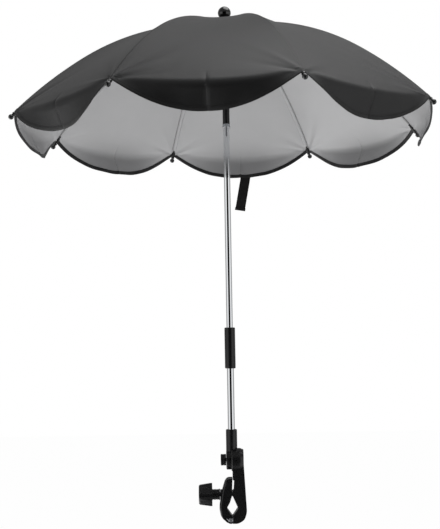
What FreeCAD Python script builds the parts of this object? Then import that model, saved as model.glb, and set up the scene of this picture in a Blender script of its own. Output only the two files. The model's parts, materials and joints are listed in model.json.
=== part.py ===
import FreeCAD, Part
import itertools
import math
import os
import re
import Sketcher

# Pram parasol. The origin is the middle of the clamp's grip, the pole rises along +Z,
# the screw lies along X and the clamped pram tube along Y. Millimetres and degrees.

SIZES = {
    # gaps shared by all pieces
    "running_gap": 0.05,
    "free_gap": 0.3,
    "overrun": 3,
    # poles
    "pole_radius": 5.5,
    "pole_wall": 0.8,
    "lower_radius": 6,
    "lower_wall": 0.8,
    "pole_rise": 21,
    # canopy frame
    "rib_count": 8,
    "rib_phase": 17.3,
    "notch_height": 844,
    "hinge_radius": 9,
    "rib_radius": 1.5,
    "rib_slope": 5,
    "crown_run": 75,
    "crown_turn": 4.7,
    "shoulder_run": 180,
    "shoulder_turn": 24.3,
    "skirt_run": 165,
    "skirt_turn": 12.5,
    "eye_radius": 1.9,
    "eye_width": 2.4,
    "joint_run": 205,
    "joint_drop": 4,
    "lug_width": 1.8,
    "rivet_radius": 0.8,
    "rivet_proud": 0.2,
    "stretcher_depth": 2.6,
    "cheek_width": 1,
    "cheek_length": 11,
    "cheek_reach": 6,
    "fold_radius": 40,
    "tip_radius": 4.5,
    "tip_stem_radius": 2.6,
    "tip_stem_length": 8.6,
    "tip_collar_radius": 3.4,
    "tip_collar_length": 2,
    "tip_gap": 0.1,
    # notch, runner and top knob
    "ring_wire_radius": 0.6,
    "crown_radius": 13,
    "slot_width": 3.2,
    "slot_root": 6.7,
    "crown_below": 6,
    "neck_radius": 6.1,
    "runner_length": 70.6,
    "bead_radius": 6.8,
    "bead_length": 1.8,
    "bead_groove": 1.2,
    "catch_length": 17,
    "catch_width": 2.6,
    "catch_proud": 1.7,
    "washer_thickness": 1.2,
    "cap_radius": 11.5,
    "cap_foot_radius": 7.2,
    "cap_foot_height": 8,
    "cap_height": 28,
    "cap_round": 8.5,
    "cap_under_round": 3.8,
    "cap_bore_depth": 9,
    # canopy
    "cloth_thickness": 0.8,
    "gore_gap": 0.3,
    "hem_setback": 20,
    "hem_at_rib": 9.5,
    "scallop_length": 58,
    "hem_heading": 95,
    "panel_sag": 6,
    "strap_width": 21,
    "strap_length": 80,
    "strap_thickness": 1.2,
    "strap_lap": 8,
    "strap_gap": 0.7,
    "strap_lean": 10,
    # tilt joint and its sleeve
    "tilt_height": 245,
    "tube_standoff": 6.2,
    "knuckle_radius": 4.3,
    "tongue_width": 3.4,
    "fork_width": 8.8,
    "plug_length": 24,
    "tilt_pin_radius": 1.5,
    "sleeve_drop": 8.3,
    "sleeve_length": 71,
    "sleeve_radius": 9.25,
    "sleeve_bore": 6.8,
    "sleeve_collar": 10,
    "sleeve_chamfer": 1,
    # swivel
    "hub_height": 80,
    "hub_radius": 16.8,
    "hub_left": 9.8,
    "hub_setback": 0.7,
    "hub_chamfer": 1.2,
    "socket_radius": 9.6,
    "socket_rise": 52,
    "socket_chamfer": 1,
    "friction_thickness": 1.4,
    "friction_radius": 19.4,
    "bolt_radius": 3,
    "bolt_head_radius": 6,
    "bolt_head_length": 4,
    "bolt_reach": 4.2,
    "swivel_knob_radius": 9.75,
    "swivel_knob_length": 9.3,
    "swivel_knob_chamfer": 0.8,
    "swivel_groove_place": 4.4,
    "swivel_groove_width": 0.8,
    "swivel_groove_depth": 0.5,
    # clamp
    "clamp_depth": 28,
    "arm_disc_radius": 19.7,
    "arm_disc_right": 20,
    "arm_bevel_width": 6,
    "arm_bevel_drop": 2.6,
    "arm_top_right": 19.7,
    "arm_wide_right": 24.4,
    "arm_wide_height": -9,
    "arm_wide_round": 30,
    "arm_foot_right": 19.6,
    "arm_foot_right_height": -21.5,
    "arm_foot_left": 9,
    "arm_foot_round": 13,
    "clamp_foot": -27.2,
    "face_gap": 0.4,
    "face_x": -0.3,
    "face_low": 20.6,
    "face_high": 26.5,
    "slit_x": 3.3,
    "slit_top": 46.8,
    "slit_shoulder": 45.4,
    "slit_foot_x": 2.2,
    "slit_low": 28.5,
    "vee_x": 9.5,
    "vee_height": -1.8,
    "vee_foot": -15.6,
    "jaw_vee_x": -10.6,
    "jaw_brow_x": -4.6,
    "jaw_brow_height": 8.8,
    "jaw_top": 49,
    "jaw_top_left": -11.2,
    "jaw_top_round": 9,
    "jaw_waist_x": -18.4,
    "jaw_waist_height": 27,
    "jaw_waist_round": 90,
    "jaw_wide_x": -23.2,
    "jaw_wide_height": -0.5,
    "jaw_wide_round": 36,
    "jaw_low_x": -20.4,
    "jaw_low_height": -15.5,
    "jaw_low_round": 13,
    "jaw_foot_x": -8.6,
    "jaw_foot_height": -26,
    "boss_length": 6,
    "pin_x": -3.5,
    "pin_height": -20.8,
    "pin_radius": 2,
    "lug_radius": 6.4,
    "lug_half_width": 6.2,
    "screw_height": 21.1,
    "screw_radius": 4,
    "screw_end": 17,
    "screw_inset": 8,
    "nut_radius": 7,
    "nut_start": 5,
    "nut_length": 11,
    "fork_floor": 13.5,
    "fork_gap": 0.5,
    "pressure_x": -21.5,
    "pressure_thickness": 1.6,
    "pressure_radius": 9.6,
    "screw_neck_radius": 9.2,
    "screw_neck_length": 11.7,
    "neck_groove_depth": 0.7,
    "neck_groove_width": 1.3,
    "neck_groove_count": 4,
    "knob_radius": 19.6,
    "knob_outer_radius": 16.9,
    "knob_length": 23,
    "knob_rim": 3,
    "knob_chamfer": 1.6,
    "lobe_count": 6,
    "lobe_cut_radius": 7.5,
    "lobe_cut_circle": 23.2,
}

doc = FreeCAD.newDocument("pram_parasol")
sheet = doc.addObject("Spreadsheet::Sheet", "dims")
sheet_rows = itertools.count(1)


def store(alias, value):
    """Put a size into the next row of the sheet."""
    row = next(sheet_rows)
    sheet.set(f"A{row}", alias)
    sheet.set(f"B{row}", str(value))
    sheet.setAlias(f"B{row}", alias)


for alias, value in SIZES.items():
    store(alias, value)
doc.recompute()

# Places worked out from the sizes, as expressions of the sheet
POLE_FOOT = "(hub_height + pole_rise)"
SOCKET_TOP = "(hub_height + socket_rise)"
SLEEVE_FOOT = "(tilt_height - sleeve_drop)"
RUNNER_FOOT = "(runner_hinge_height - runner_length)"
HUB_FACE = "-hub_setback"
ARM_FACE = "friction_thickness - hub_setback"

Vector = FreeCAD.Vector
UP = Vector(0, 0, 1)
sub_parts = []


def size(alias):
    """A driving dimension, read from the sheet."""
    return float(sheet.get(alias))


def in_sheet(expression):
    """The expression with each word turned into that cell of the sheet."""
    return re.sub(r"[a-z]\w*", r"dims.\g<0>", expression)


def bind(thing, **expressions):
    """Bind properties to the sheet; a double underscore stands for a dot."""
    for name, expression in expressions.items():
        thing.setExpression(name.replace("__", "."), in_sheet(expression))
    return thing


def keep(thing, label):
    """List a finished sub-part under its label."""
    thing.Label = label
    sub_parts.append(thing)
    return thing


# Sketch helpers


def new_body(name):
    return doc.addObject("PartDesign::Body", name)


def sketch_on(body, role, offset=None):
    """A sketch on one of the body's own origin planes, moved along its normal if asked."""
    plane = next(item for item in body.Origin.OriginFeatures if item.Role == role)
    sketch = body.newObject("Sketcher::SketchObject", body.Name + "_sketch")
    sketch.AttachmentSupport = (plane, [""])
    sketch.MapMode = "FlatFace"
    if offset:
        bind(sketch, AttachmentOffset__Base__z=offset)
    return sketch


def pin_vertex(sketch, line, across, along, start):
    """Hold a line's first point at two expressions from the sketch's origin."""
    for kind, expression, value in (("DistanceX", across, start.x), ("DistanceY", along, start.y)):
        index = sketch.addConstraint(Sketcher.Constraint(kind, -1, 1, line, 1, value))
        sketch.setExpression(f"Constraints[{index}]", in_sheet(expression))


def draw_polygon(sketch, points):
    """A closed outline whose corners are pairs of expressions."""
    count = len(points)
    turns = [math.tau * i / count for i in range(count)]
    starts = [Vector(math.cos(a), math.sin(a), 0) for a in turns]
    for i in range(count):
        sketch.addGeometry(Part.LineSegment(starts[i], starts[(i + 1) % count]), False)
    for i in range(count):
        sketch.addConstraint(Sketcher.Constraint("Coincident", i, 2, (i + 1) % count, 1))
    for i, (across, along) in enumerate(points):
        pin_vertex(sketch, i, across, along, starts[i])


def draw_circle(sketch, across, along, radius):
    """A circle held by three expressions."""
    ring = sketch.addGeometry(Part.Circle(Vector(1, 1, 0), UP, 1), False)
    for kind, expression in (("DistanceX", across), ("DistanceY", along)):
        index = sketch.addConstraint(Sketcher.Constraint(kind, -1, 1, ring, 3, 1.0))
        sketch.setExpression(f"Constraints[{index}]", in_sheet(expression))
    index = sketch.addConstraint(Sketcher.Constraint("Radius", ring, 1.0))
    sketch.setExpression(f"Constraints[{index}]", in_sheet(radius))


def pad(body, sketch, length, symmetric=False):
    feature = body.newObject("PartDesign::Pad", body.Name + "_pad")
    feature.Profile = sketch
    feature.SideType = "Symmetric" if symmetric else "One side"
    bind(feature, Length=length)
    doc.recompute()
    return feature


def pocket(body, sketch, length, symmetric=False, forward=False):
    """A cut to a depth; forward runs along the sketch's normal."""
    before = body.Shape.Volume
    feature = body.newObject("PartDesign::Pocket", body.Name + "_pocket")
    feature.Profile = sketch
    feature.SideType = "Symmetric" if symmetric else "One side"
    feature.Reversed = forward
    bind(feature, Length=length)
    doc.recompute()
    if body.Shape.Volume >= before:
        raise RuntimeError(f"{feature.Label} cuts nothing")
    return feature


def repeat_round(body, feature, sketch, axis, count):
    """Repeat a feature round an axis of its sketch."""
    pattern = body.newObject("PartDesign::PolarPattern", body.Name + "_pattern")
    pattern.Originals = [feature]
    pattern.Axis = (sketch, [axis])
    pattern.Angle = 360
    bind(pattern, Occurrences=count)
    body.Tip = pattern
    doc.recompute()
    return pattern


def round_edges(body, radius, wanted, kind="PartDesign::Fillet"):
    """Fillet or chamfer the edges of the body's tip that wanted() picks."""
    tip = body.Tip
    names = [f"Edge{i}" for i, edge in enumerate(tip.Shape.Edges, start=1) if wanted(edge)]
    feature = body.newObject(kind, body.Name + "_edges")
    feature.Base = (tip, names)
    bind(feature, **{"Radius" if kind.endswith("Fillet") else "Size": radius})
    doc.recompute()
    return feature


def revolve(body, sketch, axis):
    """A full turn of a sketch about one of its own axes."""
    feature = body.newObject("PartDesign::Revolution", body.Name + "_turn")
    feature.Profile = sketch
    feature.ReferenceAxis = (sketch, [axis])
    feature.Angle = 360
    doc.recompute()
    return feature


def blank(name, points, axis="V_Axis", lift=None):
    """A body turned on the pole's axis (V_Axis) or on an X axis at a height (H_Axis)."""
    body = new_body(name)
    sketch = sketch_on(body, "XZ_Plane")
    draw_polygon(sketch, points)
    revolve(body, sketch, axis)
    if lift:
        bind(body, Placement__Base__z=lift)
    doc.recompute()
    return body


def turned(label, points, axis="V_Axis", lift=None):
    """A turned body that is a sub-part by itself."""
    return keep(blank(label, points, axis, lift), label)


def tube(label, radius, wall, low, high):
    inner = f"{radius} - {wall}"
    return turned(label, [(inner, low), (radius, low), (radius, high), (inner, high)])


# Primitive helpers


def cylinder(name, radius, length, x="0", y="0", z="0", axis=UP):
    """A cylinder along an axis from a point, all sizes bound to the sheet."""
    item = doc.addObject("Part::Cylinder", name)
    item.Placement.Rotation = FreeCAD.Rotation(UP, axis)
    return bind(item, Radius=radius, Height=length, Placement__Base__x=x, Placement__Base__y=y,
                Placement__Base__z=z)


def box(name, low, sides):
    """A box from its low corner, all sizes bound to the sheet."""
    item = doc.addObject("Part::Box", name)
    return bind(item, Length=sides[0], Width=sides[1], Height=sides[2], Placement__Base__x=low[0],
                Placement__Base__y=low[1], Placement__Base__z=low[2])


def fused(name, items):
    whole = doc.addObject("Part::MultiFuse", name)
    whole.Shapes = items
    whole.Refine = True
    return whole


def less(name, base, tool):
    rest = doc.addObject("Part::Cut", name)
    rest.Base = base
    rest.Tool = tool
    return rest


# The rib's curve: three tangent arcs in the plane of the rib


class Curve:
    """A chain of tangent arcs that starts at the notch hinge and turns down."""

    def __init__(self):
        heading = math.radians(size("rib_slope"))
        place = (size("hinge_radius"), size("notch_height"))
        self.arcs = []
        for stretch in ("crown", "shoulder", "skirt"):
            length = size(stretch + "_run")
            turn = math.radians(size(stretch + "_turn"))
            self.arcs.append((length, turn, place, heading))
            place = self.walk(length, turn, place, heading, length)[0]
            heading += turn
        self.length = sum(arc[0] for arc in self.arcs)

    @staticmethod
    def walk(length, turn, place, heading, run):
        """Point and heading after a run along one arc."""
        radius = length / turn
        now = heading + run / radius
        across = place[0] + radius * (math.sin(now) - math.sin(heading))
        height = place[1] + radius * (math.cos(now) - math.cos(heading))
        return (across, height), now

    def at(self, run):
        """Point and heading at a run along the whole curve."""
        for length, turn, place, heading in self.arcs[:-1]:
            if run <= length:
                return self.walk(length, turn, place, heading, run)
            run -= length
        return self.walk(*self.arcs[-1], run)

    def beside(self, run, lift):
        """A point beside the curve, on its upper side where lift is positive."""
        (across, height), heading = self.at(run)
        return across + lift * math.sin(heading), height + lift * math.cos(heading), heading

    def joints(self):
        """Runs at which one arc ends and the next begins."""
        runs = [0]
        for arc in self.arcs:
            runs.append(runs[-1] + arc[0])
        return runs


curve = Curve()
rib_pitch = math.tau / size("rib_count")


def flat(across, height, side=0):
    return Vector(across, side, height)


# Linkage: equal arms, so the stretcher's inner end stays on the hinge circle

notch_hinge = (size("hinge_radius"), size("notch_height"))
joint_across, joint_height, joint_heading = curve.beside(size("joint_run"), -size("joint_drop"))
arm_across = joint_across - notch_hinge[0]
arm_drop = notch_hinge[1] - joint_height
arm_length = math.hypot(arm_across, arm_drop)
arm_open = math.asin(arm_drop / arm_length)
runner_hinge = (notch_hinge[0], notch_hinge[1] - 2 * arm_drop)
(tip_across, tip_height), tip_heading = curve.at(curve.length)
tip_arm = math.hypot(tip_across - notch_hinge[0], notch_hinge[1] - tip_height)
tip_open = math.asin((notch_hinge[1] - tip_height) / tip_arm)
fold_angle = math.acos((size("fold_radius") - notch_hinge[0]) / tip_arm) - tip_open
runner_travel = 2 * arm_length * (math.sin(arm_open + fold_angle) - math.sin(arm_open))

# The runner's hinge height follows from the linkage and is kept in the sheet for the turned pieces
store("runner_hinge_height", runner_hinge[1])
doc.recompute()


def cross_pin(radius, width, across, height):
    """A cylinder through the rib's plane, middled on it."""
    start = flat(across, height, -width / 2)
    return Part.makeCylinder(radius, width, start, Vector(0, 1, 0))


def rib_path():
    edges = []
    runs = curve.joints()
    for first, last in zip(runs, runs[1:]):
        stations = (first, (first + last) / 2, last)
        edges.append(Part.Arc(*[flat(*curve.at(run)[0]) for run in stations]).toShape())
    return Part.Wire(edges)


def rib_shape():
    """Rod, eye on the notch wire, lug and rivet of the stretcher."""
    heading = math.radians(size("rib_slope"))
    start = flat(*notch_hinge)
    along = Vector(math.cos(heading), 0, -math.sin(heading))
    ring = Part.Wire(Part.makeCircle(size("rib_radius"), start, along))
    rod = rib_path().makePipeShell([ring], True, False)
    eye = cross_pin(size("eye_radius"), size("eye_width"), *notch_hinge)
    lug_eye = cross_pin(size("eye_radius"), size("lug_width"), joint_across, joint_height)
    web = Part.makeBox(2 * size("eye_radius"), size("lug_width"), size("joint_drop"))
    web.translate(Vector(-size("eye_radius"), -size("lug_width") / 2, 0))
    web.rotate(Vector(), Vector(0, 1, 0), math.degrees(joint_heading))
    web.translate(flat(joint_across, joint_height))
    rivet_width = size("eye_width") + 2 * (size("cheek_width") + size("rivet_proud"))
    rivet = cross_pin(size("rivet_radius"), rivet_width, joint_across, joint_height)
    whole = rod.fuse([eye, lug_eye, web, rivet])
    hole_radius = size("ring_wire_radius") + size("free_gap")
    hole = cross_pin(hole_radius, size("eye_width") + size("overrun"), *notch_hinge)
    return whole.cut(hole).removeSplitter()


def tip_shape():
    """Ball on a stem with a collar, bored for the rib's end."""
    along = Vector(math.cos(tip_heading), 0, -math.sin(tip_heading))
    end = flat(tip_across, tip_height)
    start = end - along * size("tip_stem_length")
    ball = Part.makeSphere(size("tip_radius"), end)
    stem = Part.makeCylinder(size("tip_stem_radius"), size("tip_stem_length"), start, along)
    collar = Part.makeCylinder(size("tip_collar_radius"), size("tip_collar_length"), start, along)
    bore_radius = size("rib_radius") + size("tip_gap")
    bore_start = start - along * size("overrun")
    bore_length = size("tip_stem_length") + size("overrun") + size("tip_gap")
    bore = Part.makeCylinder(bore_radius, bore_length, bore_start, along)
    return ball.fuse([stem, collar]).cut(bore).removeSplitter()


def stretcher_shape():
    """Bar with a fork on the rib's lug and an eye in the runner's crown."""
    width, depth = size("eye_width"), size("stretcher_depth")
    reach, overrun = size("cheek_reach"), size("overrun")
    cheek_width = width + 2 * size("cheek_width")
    bar = Part.makeBox(arm_length - reach, width, depth, Vector(reach, -width / 2, -depth / 2))
    cheek_corner = Vector(0, -cheek_width / 2, -depth / 2)
    cheek_box = Part.makeBox(size("cheek_length"), cheek_width, depth, cheek_corner)
    cheek_eye = cross_pin(size("eye_radius"), cheek_width, 0, 0)
    gap_start = -size("eye_radius") - overrun
    gap_corner = Vector(gap_start, -width / 2, -depth / 2 - overrun)
    gap = Part.makeBox(reach - gap_start, width, depth + 2 * overrun, gap_corner)
    eye = cross_pin(size("eye_radius"), width, arm_length, 0)
    eye_hole = cross_pin(size("ring_wire_radius") + size("free_gap"), width, arm_length, 0)
    rivet_hole = cross_pin(size("rivet_radius") + size("running_gap"), cheek_width, 0, 0)
    fork = cheek_box.fuse(cheek_eye).cut(gap)
    whole = bar.fuse([fork, eye]).cut(Part.makeCompound([eye_hole, rivet_hole])).removeSplitter()
    # The bar is drawn along +X and turned to run inward and down from the joint
    whole.rotate(Vector(), Vector(0, 1, 0), 180 - math.degrees(arm_open))
    whole.translate(flat(joint_across, joint_height))
    return whole


# Canopy: gores between panel midlines, each folded along its rib

RIB_HANG_SHARE = 0.04
FOLD_SHARE = 0.4
HEM_POWER = 1.3
SECTION_SHARES = (-0.5, -0.375, -0.25, -0.125, 0, 0.125, 0.25, 0.375, 0.5)
cloth_inside = size("eye_radius") + size("free_gap")
dome_run = curve.length - size("hem_setback")


def hollow(share):
    """Depth of the stretched cloth between two ribs: 0 at the rib, 1 at the panel's midline."""
    return 1 - (1 - 2 * abs(share)) ** 2


def swell(share):
    """Outline of the scallop, flatter near the rib: 0 at the rib, 1 at the panel's midline."""
    return math.sin(math.pi * abs(share)) ** HEM_POWER


def scallop_run(share):
    """Length of cloth past the line of the rib tips, longest at the panel's midline."""
    return size("hem_at_rib") + (size("scallop_length") - size("hem_at_rib")) * swell(share)


def cloth_point(run, share, lift):
    """Across and height of the cloth in its section: the dome, a fold, then a straight hang."""
    across, height, heading = curve.beside(min(run, dome_run), lift)
    beyond = run - dome_run
    if beyond > 0:
        fold = FOLD_SHARE * scallop_run(share)
        hang_share = RIB_HANG_SHARE + (1 - RIB_HANG_SHARE) * swell(share)
        radius = fold / (hang_share * (math.radians(size("hem_heading")) - heading))
        now = heading + min(beyond, fold) / radius
        straight = max(beyond - fold, 0)
        across += (radius + lift) * (math.sin(now) - math.sin(heading)) + straight * math.cos(now)
        height += (radius + lift) * (math.cos(now) - math.cos(heading)) - straight * math.sin(now)
    sag = size("panel_sag") * hollow(share) * math.sin(math.pi * min(run, dome_run) / dome_run)
    return across, height - sag


def section_frame(share):
    """Azimuth and scale of a section: a share of the straight way to the next rib."""
    way = abs(share)
    across = (1 - way) + way * math.cos(rib_pitch)
    aside = way * math.sin(rib_pitch)
    return math.copysign(math.atan2(aside, across), share), math.hypot(across, aside)


def cloth_place(run, share, lift):
    azimuth, scale = section_frame(share)
    across, height = cloth_point(run, share, lift)
    shift = size("gore_gap") / (2 * math.sin(rib_pitch / 2))
    return Vector(scale * across * math.cos(azimuth) + shift, scale * across * math.sin(azimuth), height)


def gore_section(share):
    """Closed outline of the cloth in one section: arcs to the end of the fold, then a line, and back."""
    scallop = scallop_run(share)
    fold_end = dome_run + FOLD_SHARE * scallop
    runs = [run for run in curve.joints() if run < dome_run]
    runs += [dome_run, fold_end, dome_run + scallop]
    stations = list(zip(runs, runs[1:]))
    inside, outside = cloth_inside, cloth_inside + size("cloth_thickness")
    edges = []
    for lift, order in ((outside, stations), (inside, [pair[::-1] for pair in reversed(stations)])):
        for first, last in order:
            start, middle, end = [cloth_place(run, share, lift) for run in (first, (first + last) / 2, last)]
            hangs = max(first, last) > fold_end
            edge = Part.LineSegment(start, end) if hangs else Part.Arc(start, middle, end)
            edges.append(edge.toShape())
        far = order[-1][1]
        other = inside if lift == outside else outside
        turn_back = Part.LineSegment(cloth_place(far, share, lift), cloth_place(far, share, other))
        edges.append(turn_back.toShape())
    return Part.Wire(edges)


def gore_shape():
    return Part.makeLoft([gore_section(share) for share in SECTION_SHARES], True, True)


def repeat_on_ribs(label, shape):
    """One sub-part per rib, turned about the pole."""
    for index in range(int(size("rib_count"))):
        item = doc.addObject("Part::Feature", f"{label}_{index + 1}")
        item.Shape = shape
        angle = size("rib_phase") + math.degrees(rib_pitch) * index
        item.Placement = FreeCAD.Placement(Vector(), FreeCAD.Rotation(UP, angle)).multiply(shape.Placement)
        keep(item, f"{label}_{index + 1}")


STRAP_SHARE = 0.44
STRAP_RIB = 1


def make_strap():
    """A band sewn inside the hem near the back panel's midline, hanging with a slight lean."""
    middle = rib_pitch / 2
    across_way = Vector(math.cos(middle), math.sin(middle), 0)
    along_way = UP.cross(across_way)
    hem = cloth_place(dome_run + scallop_run(STRAP_SHARE), STRAP_SHARE, cloth_inside)
    mid_share = SECTION_SHARES[-1]
    mid_hem = cloth_place(dome_run + scallop_run(mid_share), mid_share, cloth_inside)
    item = doc.addObject("Part::Box", "strap")
    bind(item, Length="strap_thickness", Width="strap_width", Height="strap_length")
    outward = mid_hem.dot(across_way) - size("strap_gap") - size("strap_thickness")
    aside = mid_hem.dot(along_way) - size("free_gap") - size("strap_width") / 2
    top = across_way * outward + along_way * aside + UP * (hem.z + size("strap_lap"))
    stand = FreeCAD.Rotation(UP, math.degrees(middle))
    leaning = FreeCAD.Rotation(across_way, size("strap_lean")) * stand
    corner = top - leaning.multVec(Vector(0, size("strap_width") / 2, size("strap_length")))
    turn = FreeCAD.Rotation(UP, size("rib_phase") + math.degrees(rib_pitch) * STRAP_RIB)
    item.Placement = FreeCAD.Placement(turn.multVec(corner), turn * leaning)
    return keep(item, "strap")


# Pole head, runner and mid joint


def cut_slots(body):
    """Radial slots for the ribs or stretchers, all through the crown."""
    sketch = sketch_on(body, "XY_Plane", "notch_height + overrun")
    half = "slot_width / 2"
    far = "crown_radius + overrun"
    draw_polygon(sketch, [("slot_root", "-" + half), (far, "-" + half), (far, half), ("slot_root", half)])
    cut = pocket(body, sketch, "notch_height")
    repeat_round(body, cut, sketch, "N_Axis", "rib_count")
    bind(body, Placement__Rotation__Angle="rib_phase")


def make_notch():
    bore = "pole_radius + running_gap"
    groove = "hinge_radius - ring_wire_radius - running_gap"
    low, high = "notch_height - crown_below", "notch_height + rib_radius - free_gap"
    groove_low = "notch_height - ring_wire_radius - running_gap"
    groove_high = "notch_height + ring_wire_radius + running_gap"
    body = turned("top_notch", [(bore, low), ("crown_radius", low), ("crown_radius", groove_low),
                                (groove, groove_low), (groove, groove_high), ("crown_radius", groove_high),
                                ("crown_radius", high), (bore, high)])
    cut_slots(body)
    wire = doc.addObject("Part::Torus", "notch_wire")
    bind(wire, Radius1="hinge_radius", Radius2="ring_wire_radius", Placement__Base__z="notch_height")
    keep(wire, "notch_wire")


def make_runner():
    bore = "pole_radius + running_gap"
    low, high = "runner_hinge_height - crown_below", "runner_hinge_height + eye_radius"
    body = turned("runner", [(bore, RUNNER_FOOT), ("neck_radius", RUNNER_FOOT), ("neck_radius", low),
                             ("crown_radius", low), ("crown_radius", high), (bore, high)])
    cut_slots(body)
    foot = f"{RUNNER_FOOT} - 2 * bead_length - bead_groove"
    upper = f"{RUNNER_FOOT} - bead_length"
    lower = f"{upper} - bead_groove"
    turned("runner_ring", [(bore, foot), ("bead_radius", foot), ("bead_radius", lower),
                           ("neck_radius", lower), ("neck_radius", upper), ("bead_radius", upper),
                           ("bead_radius", RUNNER_FOOT), (bore, RUNNER_FOOT)])
    spring = new_body("catch_spring")
    sketch = sketch_on(spring, "YZ_Plane")
    top = f"{foot} - free_gap"
    back = "-(pole_radius + running_gap)"
    draw_polygon(sketch, [(back, top), (back, f"{top} - catch_length"), (f"{back} - catch_proud", top)])
    pad(spring, sketch, "catch_width", symmetric=True)
    keep(spring, "catch_spring")


def make_head():
    """Washer on the cloth and the round knob above it."""
    cloth_top = "notch_height + eye_radius + free_gap + cloth_thickness"
    low = f"{cloth_top} + free_gap"
    seat = f"{low} + washer_thickness"
    bore = "pole_radius + running_gap"
    turned("canopy_washer", [(bore, low), ("crown_radius", low), ("crown_radius", seat), (bore, seat)])
    roof = f"{seat} + cap_bore_depth"
    foot = f"{seat} + cap_foot_height"
    top = f"{seat} + cap_height"
    cap = turned("ferrule_cap", [(bore, seat), ("cap_foot_radius", seat), ("cap_foot_radius", foot),
                                 ("cap_radius", foot), ("cap_radius", top), ("0", top), ("0", roof),
                                 (bore, roof)])
    rim = size("cap_radius")
    crest = cap.Shape.BoundBox.ZMax

    def on_rim(edge):
        return edge.Closed and abs(edge.BoundBox.XMax - rim) < size("running_gap")

    def is_high(edge):
        return abs(edge.BoundBox.ZMax - crest) < size("running_gap")

    def is_low(edge):
        return edge.BoundBox.ZMax < crest - size("cap_round")

    round_edges(cap, "cap_round", lambda edge: on_rim(edge) and is_high(edge))
    round_edges(cap, "cap_under_round", lambda edge: on_rim(edge) and is_low(edge))
    tube("upper_pole", "pole_radius", "pole_wall", "tilt_height + tube_standoff",
         f"{seat} + cap_bore_depth - free_gap")


def make_tilt_joint():
    """Tongue in the lower pole, fork in the upper one, a pin through both."""
    across = Vector(0, 1, 0)
    wide = "2 * knuckle_radius"
    fork_half = "fork_width / 2"
    tongue_half = "tongue_width / 2"
    foot = "tilt_height - tube_standoff"
    head = "tilt_height + tube_standoff"
    plug = cylinder("tongue_plug", "lower_radius - lower_wall - running_gap", "plug_length",
                    z=f"{foot} - plug_length")
    blade = box("tongue_blade", ("-knuckle_radius", "-" + tongue_half, foot),
                (wide, "tongue_width", "tube_standoff"))
    eye = cylinder("tongue_eye", "knuckle_radius", "tongue_width", y="-" + tongue_half, z="tilt_height",
                   axis=across)
    hole = cylinder("tongue_hole", "tilt_pin_radius + running_gap", "fork_width", y="-" + fork_half,
                    z="tilt_height", axis=across)
    keep(less("tilt_tongue", fused("tongue_blank", [plug, blade, eye]), hole), "tilt_tongue")
    slot_half = f"({tongue_half} + free_gap)"
    plug = cylinder("fork_plug", "pole_radius - pole_wall - running_gap", "plug_length", z=head)
    block = box("fork_block", ("-knuckle_radius", "-" + fork_half, "tilt_height"),
                (wide, "fork_width", "tube_standoff"))
    eye = cylinder("fork_eye", "knuckle_radius", "fork_width", y="-" + fork_half,
                   z="tilt_height", axis=across)
    slot_foot = "tilt_height - knuckle_radius - overrun"
    slot = box("fork_slot", ("-knuckle_radius - overrun", "-" + slot_half, slot_foot),
               (f"{wide} + 2 * overrun", f"2 * {slot_half}", f"{wide} + overrun + free_gap"))
    hole = cylinder("fork_hole", "tilt_pin_radius + running_gap", "fork_width", y="-" + fork_half,
                    z="tilt_height", axis=across)
    cuts = fused("fork_cuts", [slot, hole])
    keep(less("tilt_fork", fused("fork_blank", [plug, block, eye]), cuts), "tilt_fork")
    pin = cylinder("tilt_pin", "tilt_pin_radius", "fork_width", y="-" + fork_half,
                   z="tilt_height", axis=across)
    keep(pin, "tilt_pin")
    tube("lower_pole", "lower_radius", "lower_wall", POLE_FOOT, foot)
    bore = "pole_radius + running_gap"
    top = f"{SLEEVE_FOOT} + sleeve_length"
    collar = f"{top} - sleeve_collar"
    waist = "sleeve_radius - sleeve_chamfer"
    turned("lock_sleeve", [("sleeve_bore", SLEEVE_FOOT), (waist, SLEEVE_FOOT),
                           ("sleeve_radius", f"{SLEEVE_FOOT} + sleeve_chamfer"),
                           ("sleeve_radius", f"{top} - sleeve_chamfer"), (waist, top), (bore, top),
                           (bore, collar), ("sleeve_bore", collar)])


# Swivel between socket and clamp arm


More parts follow.
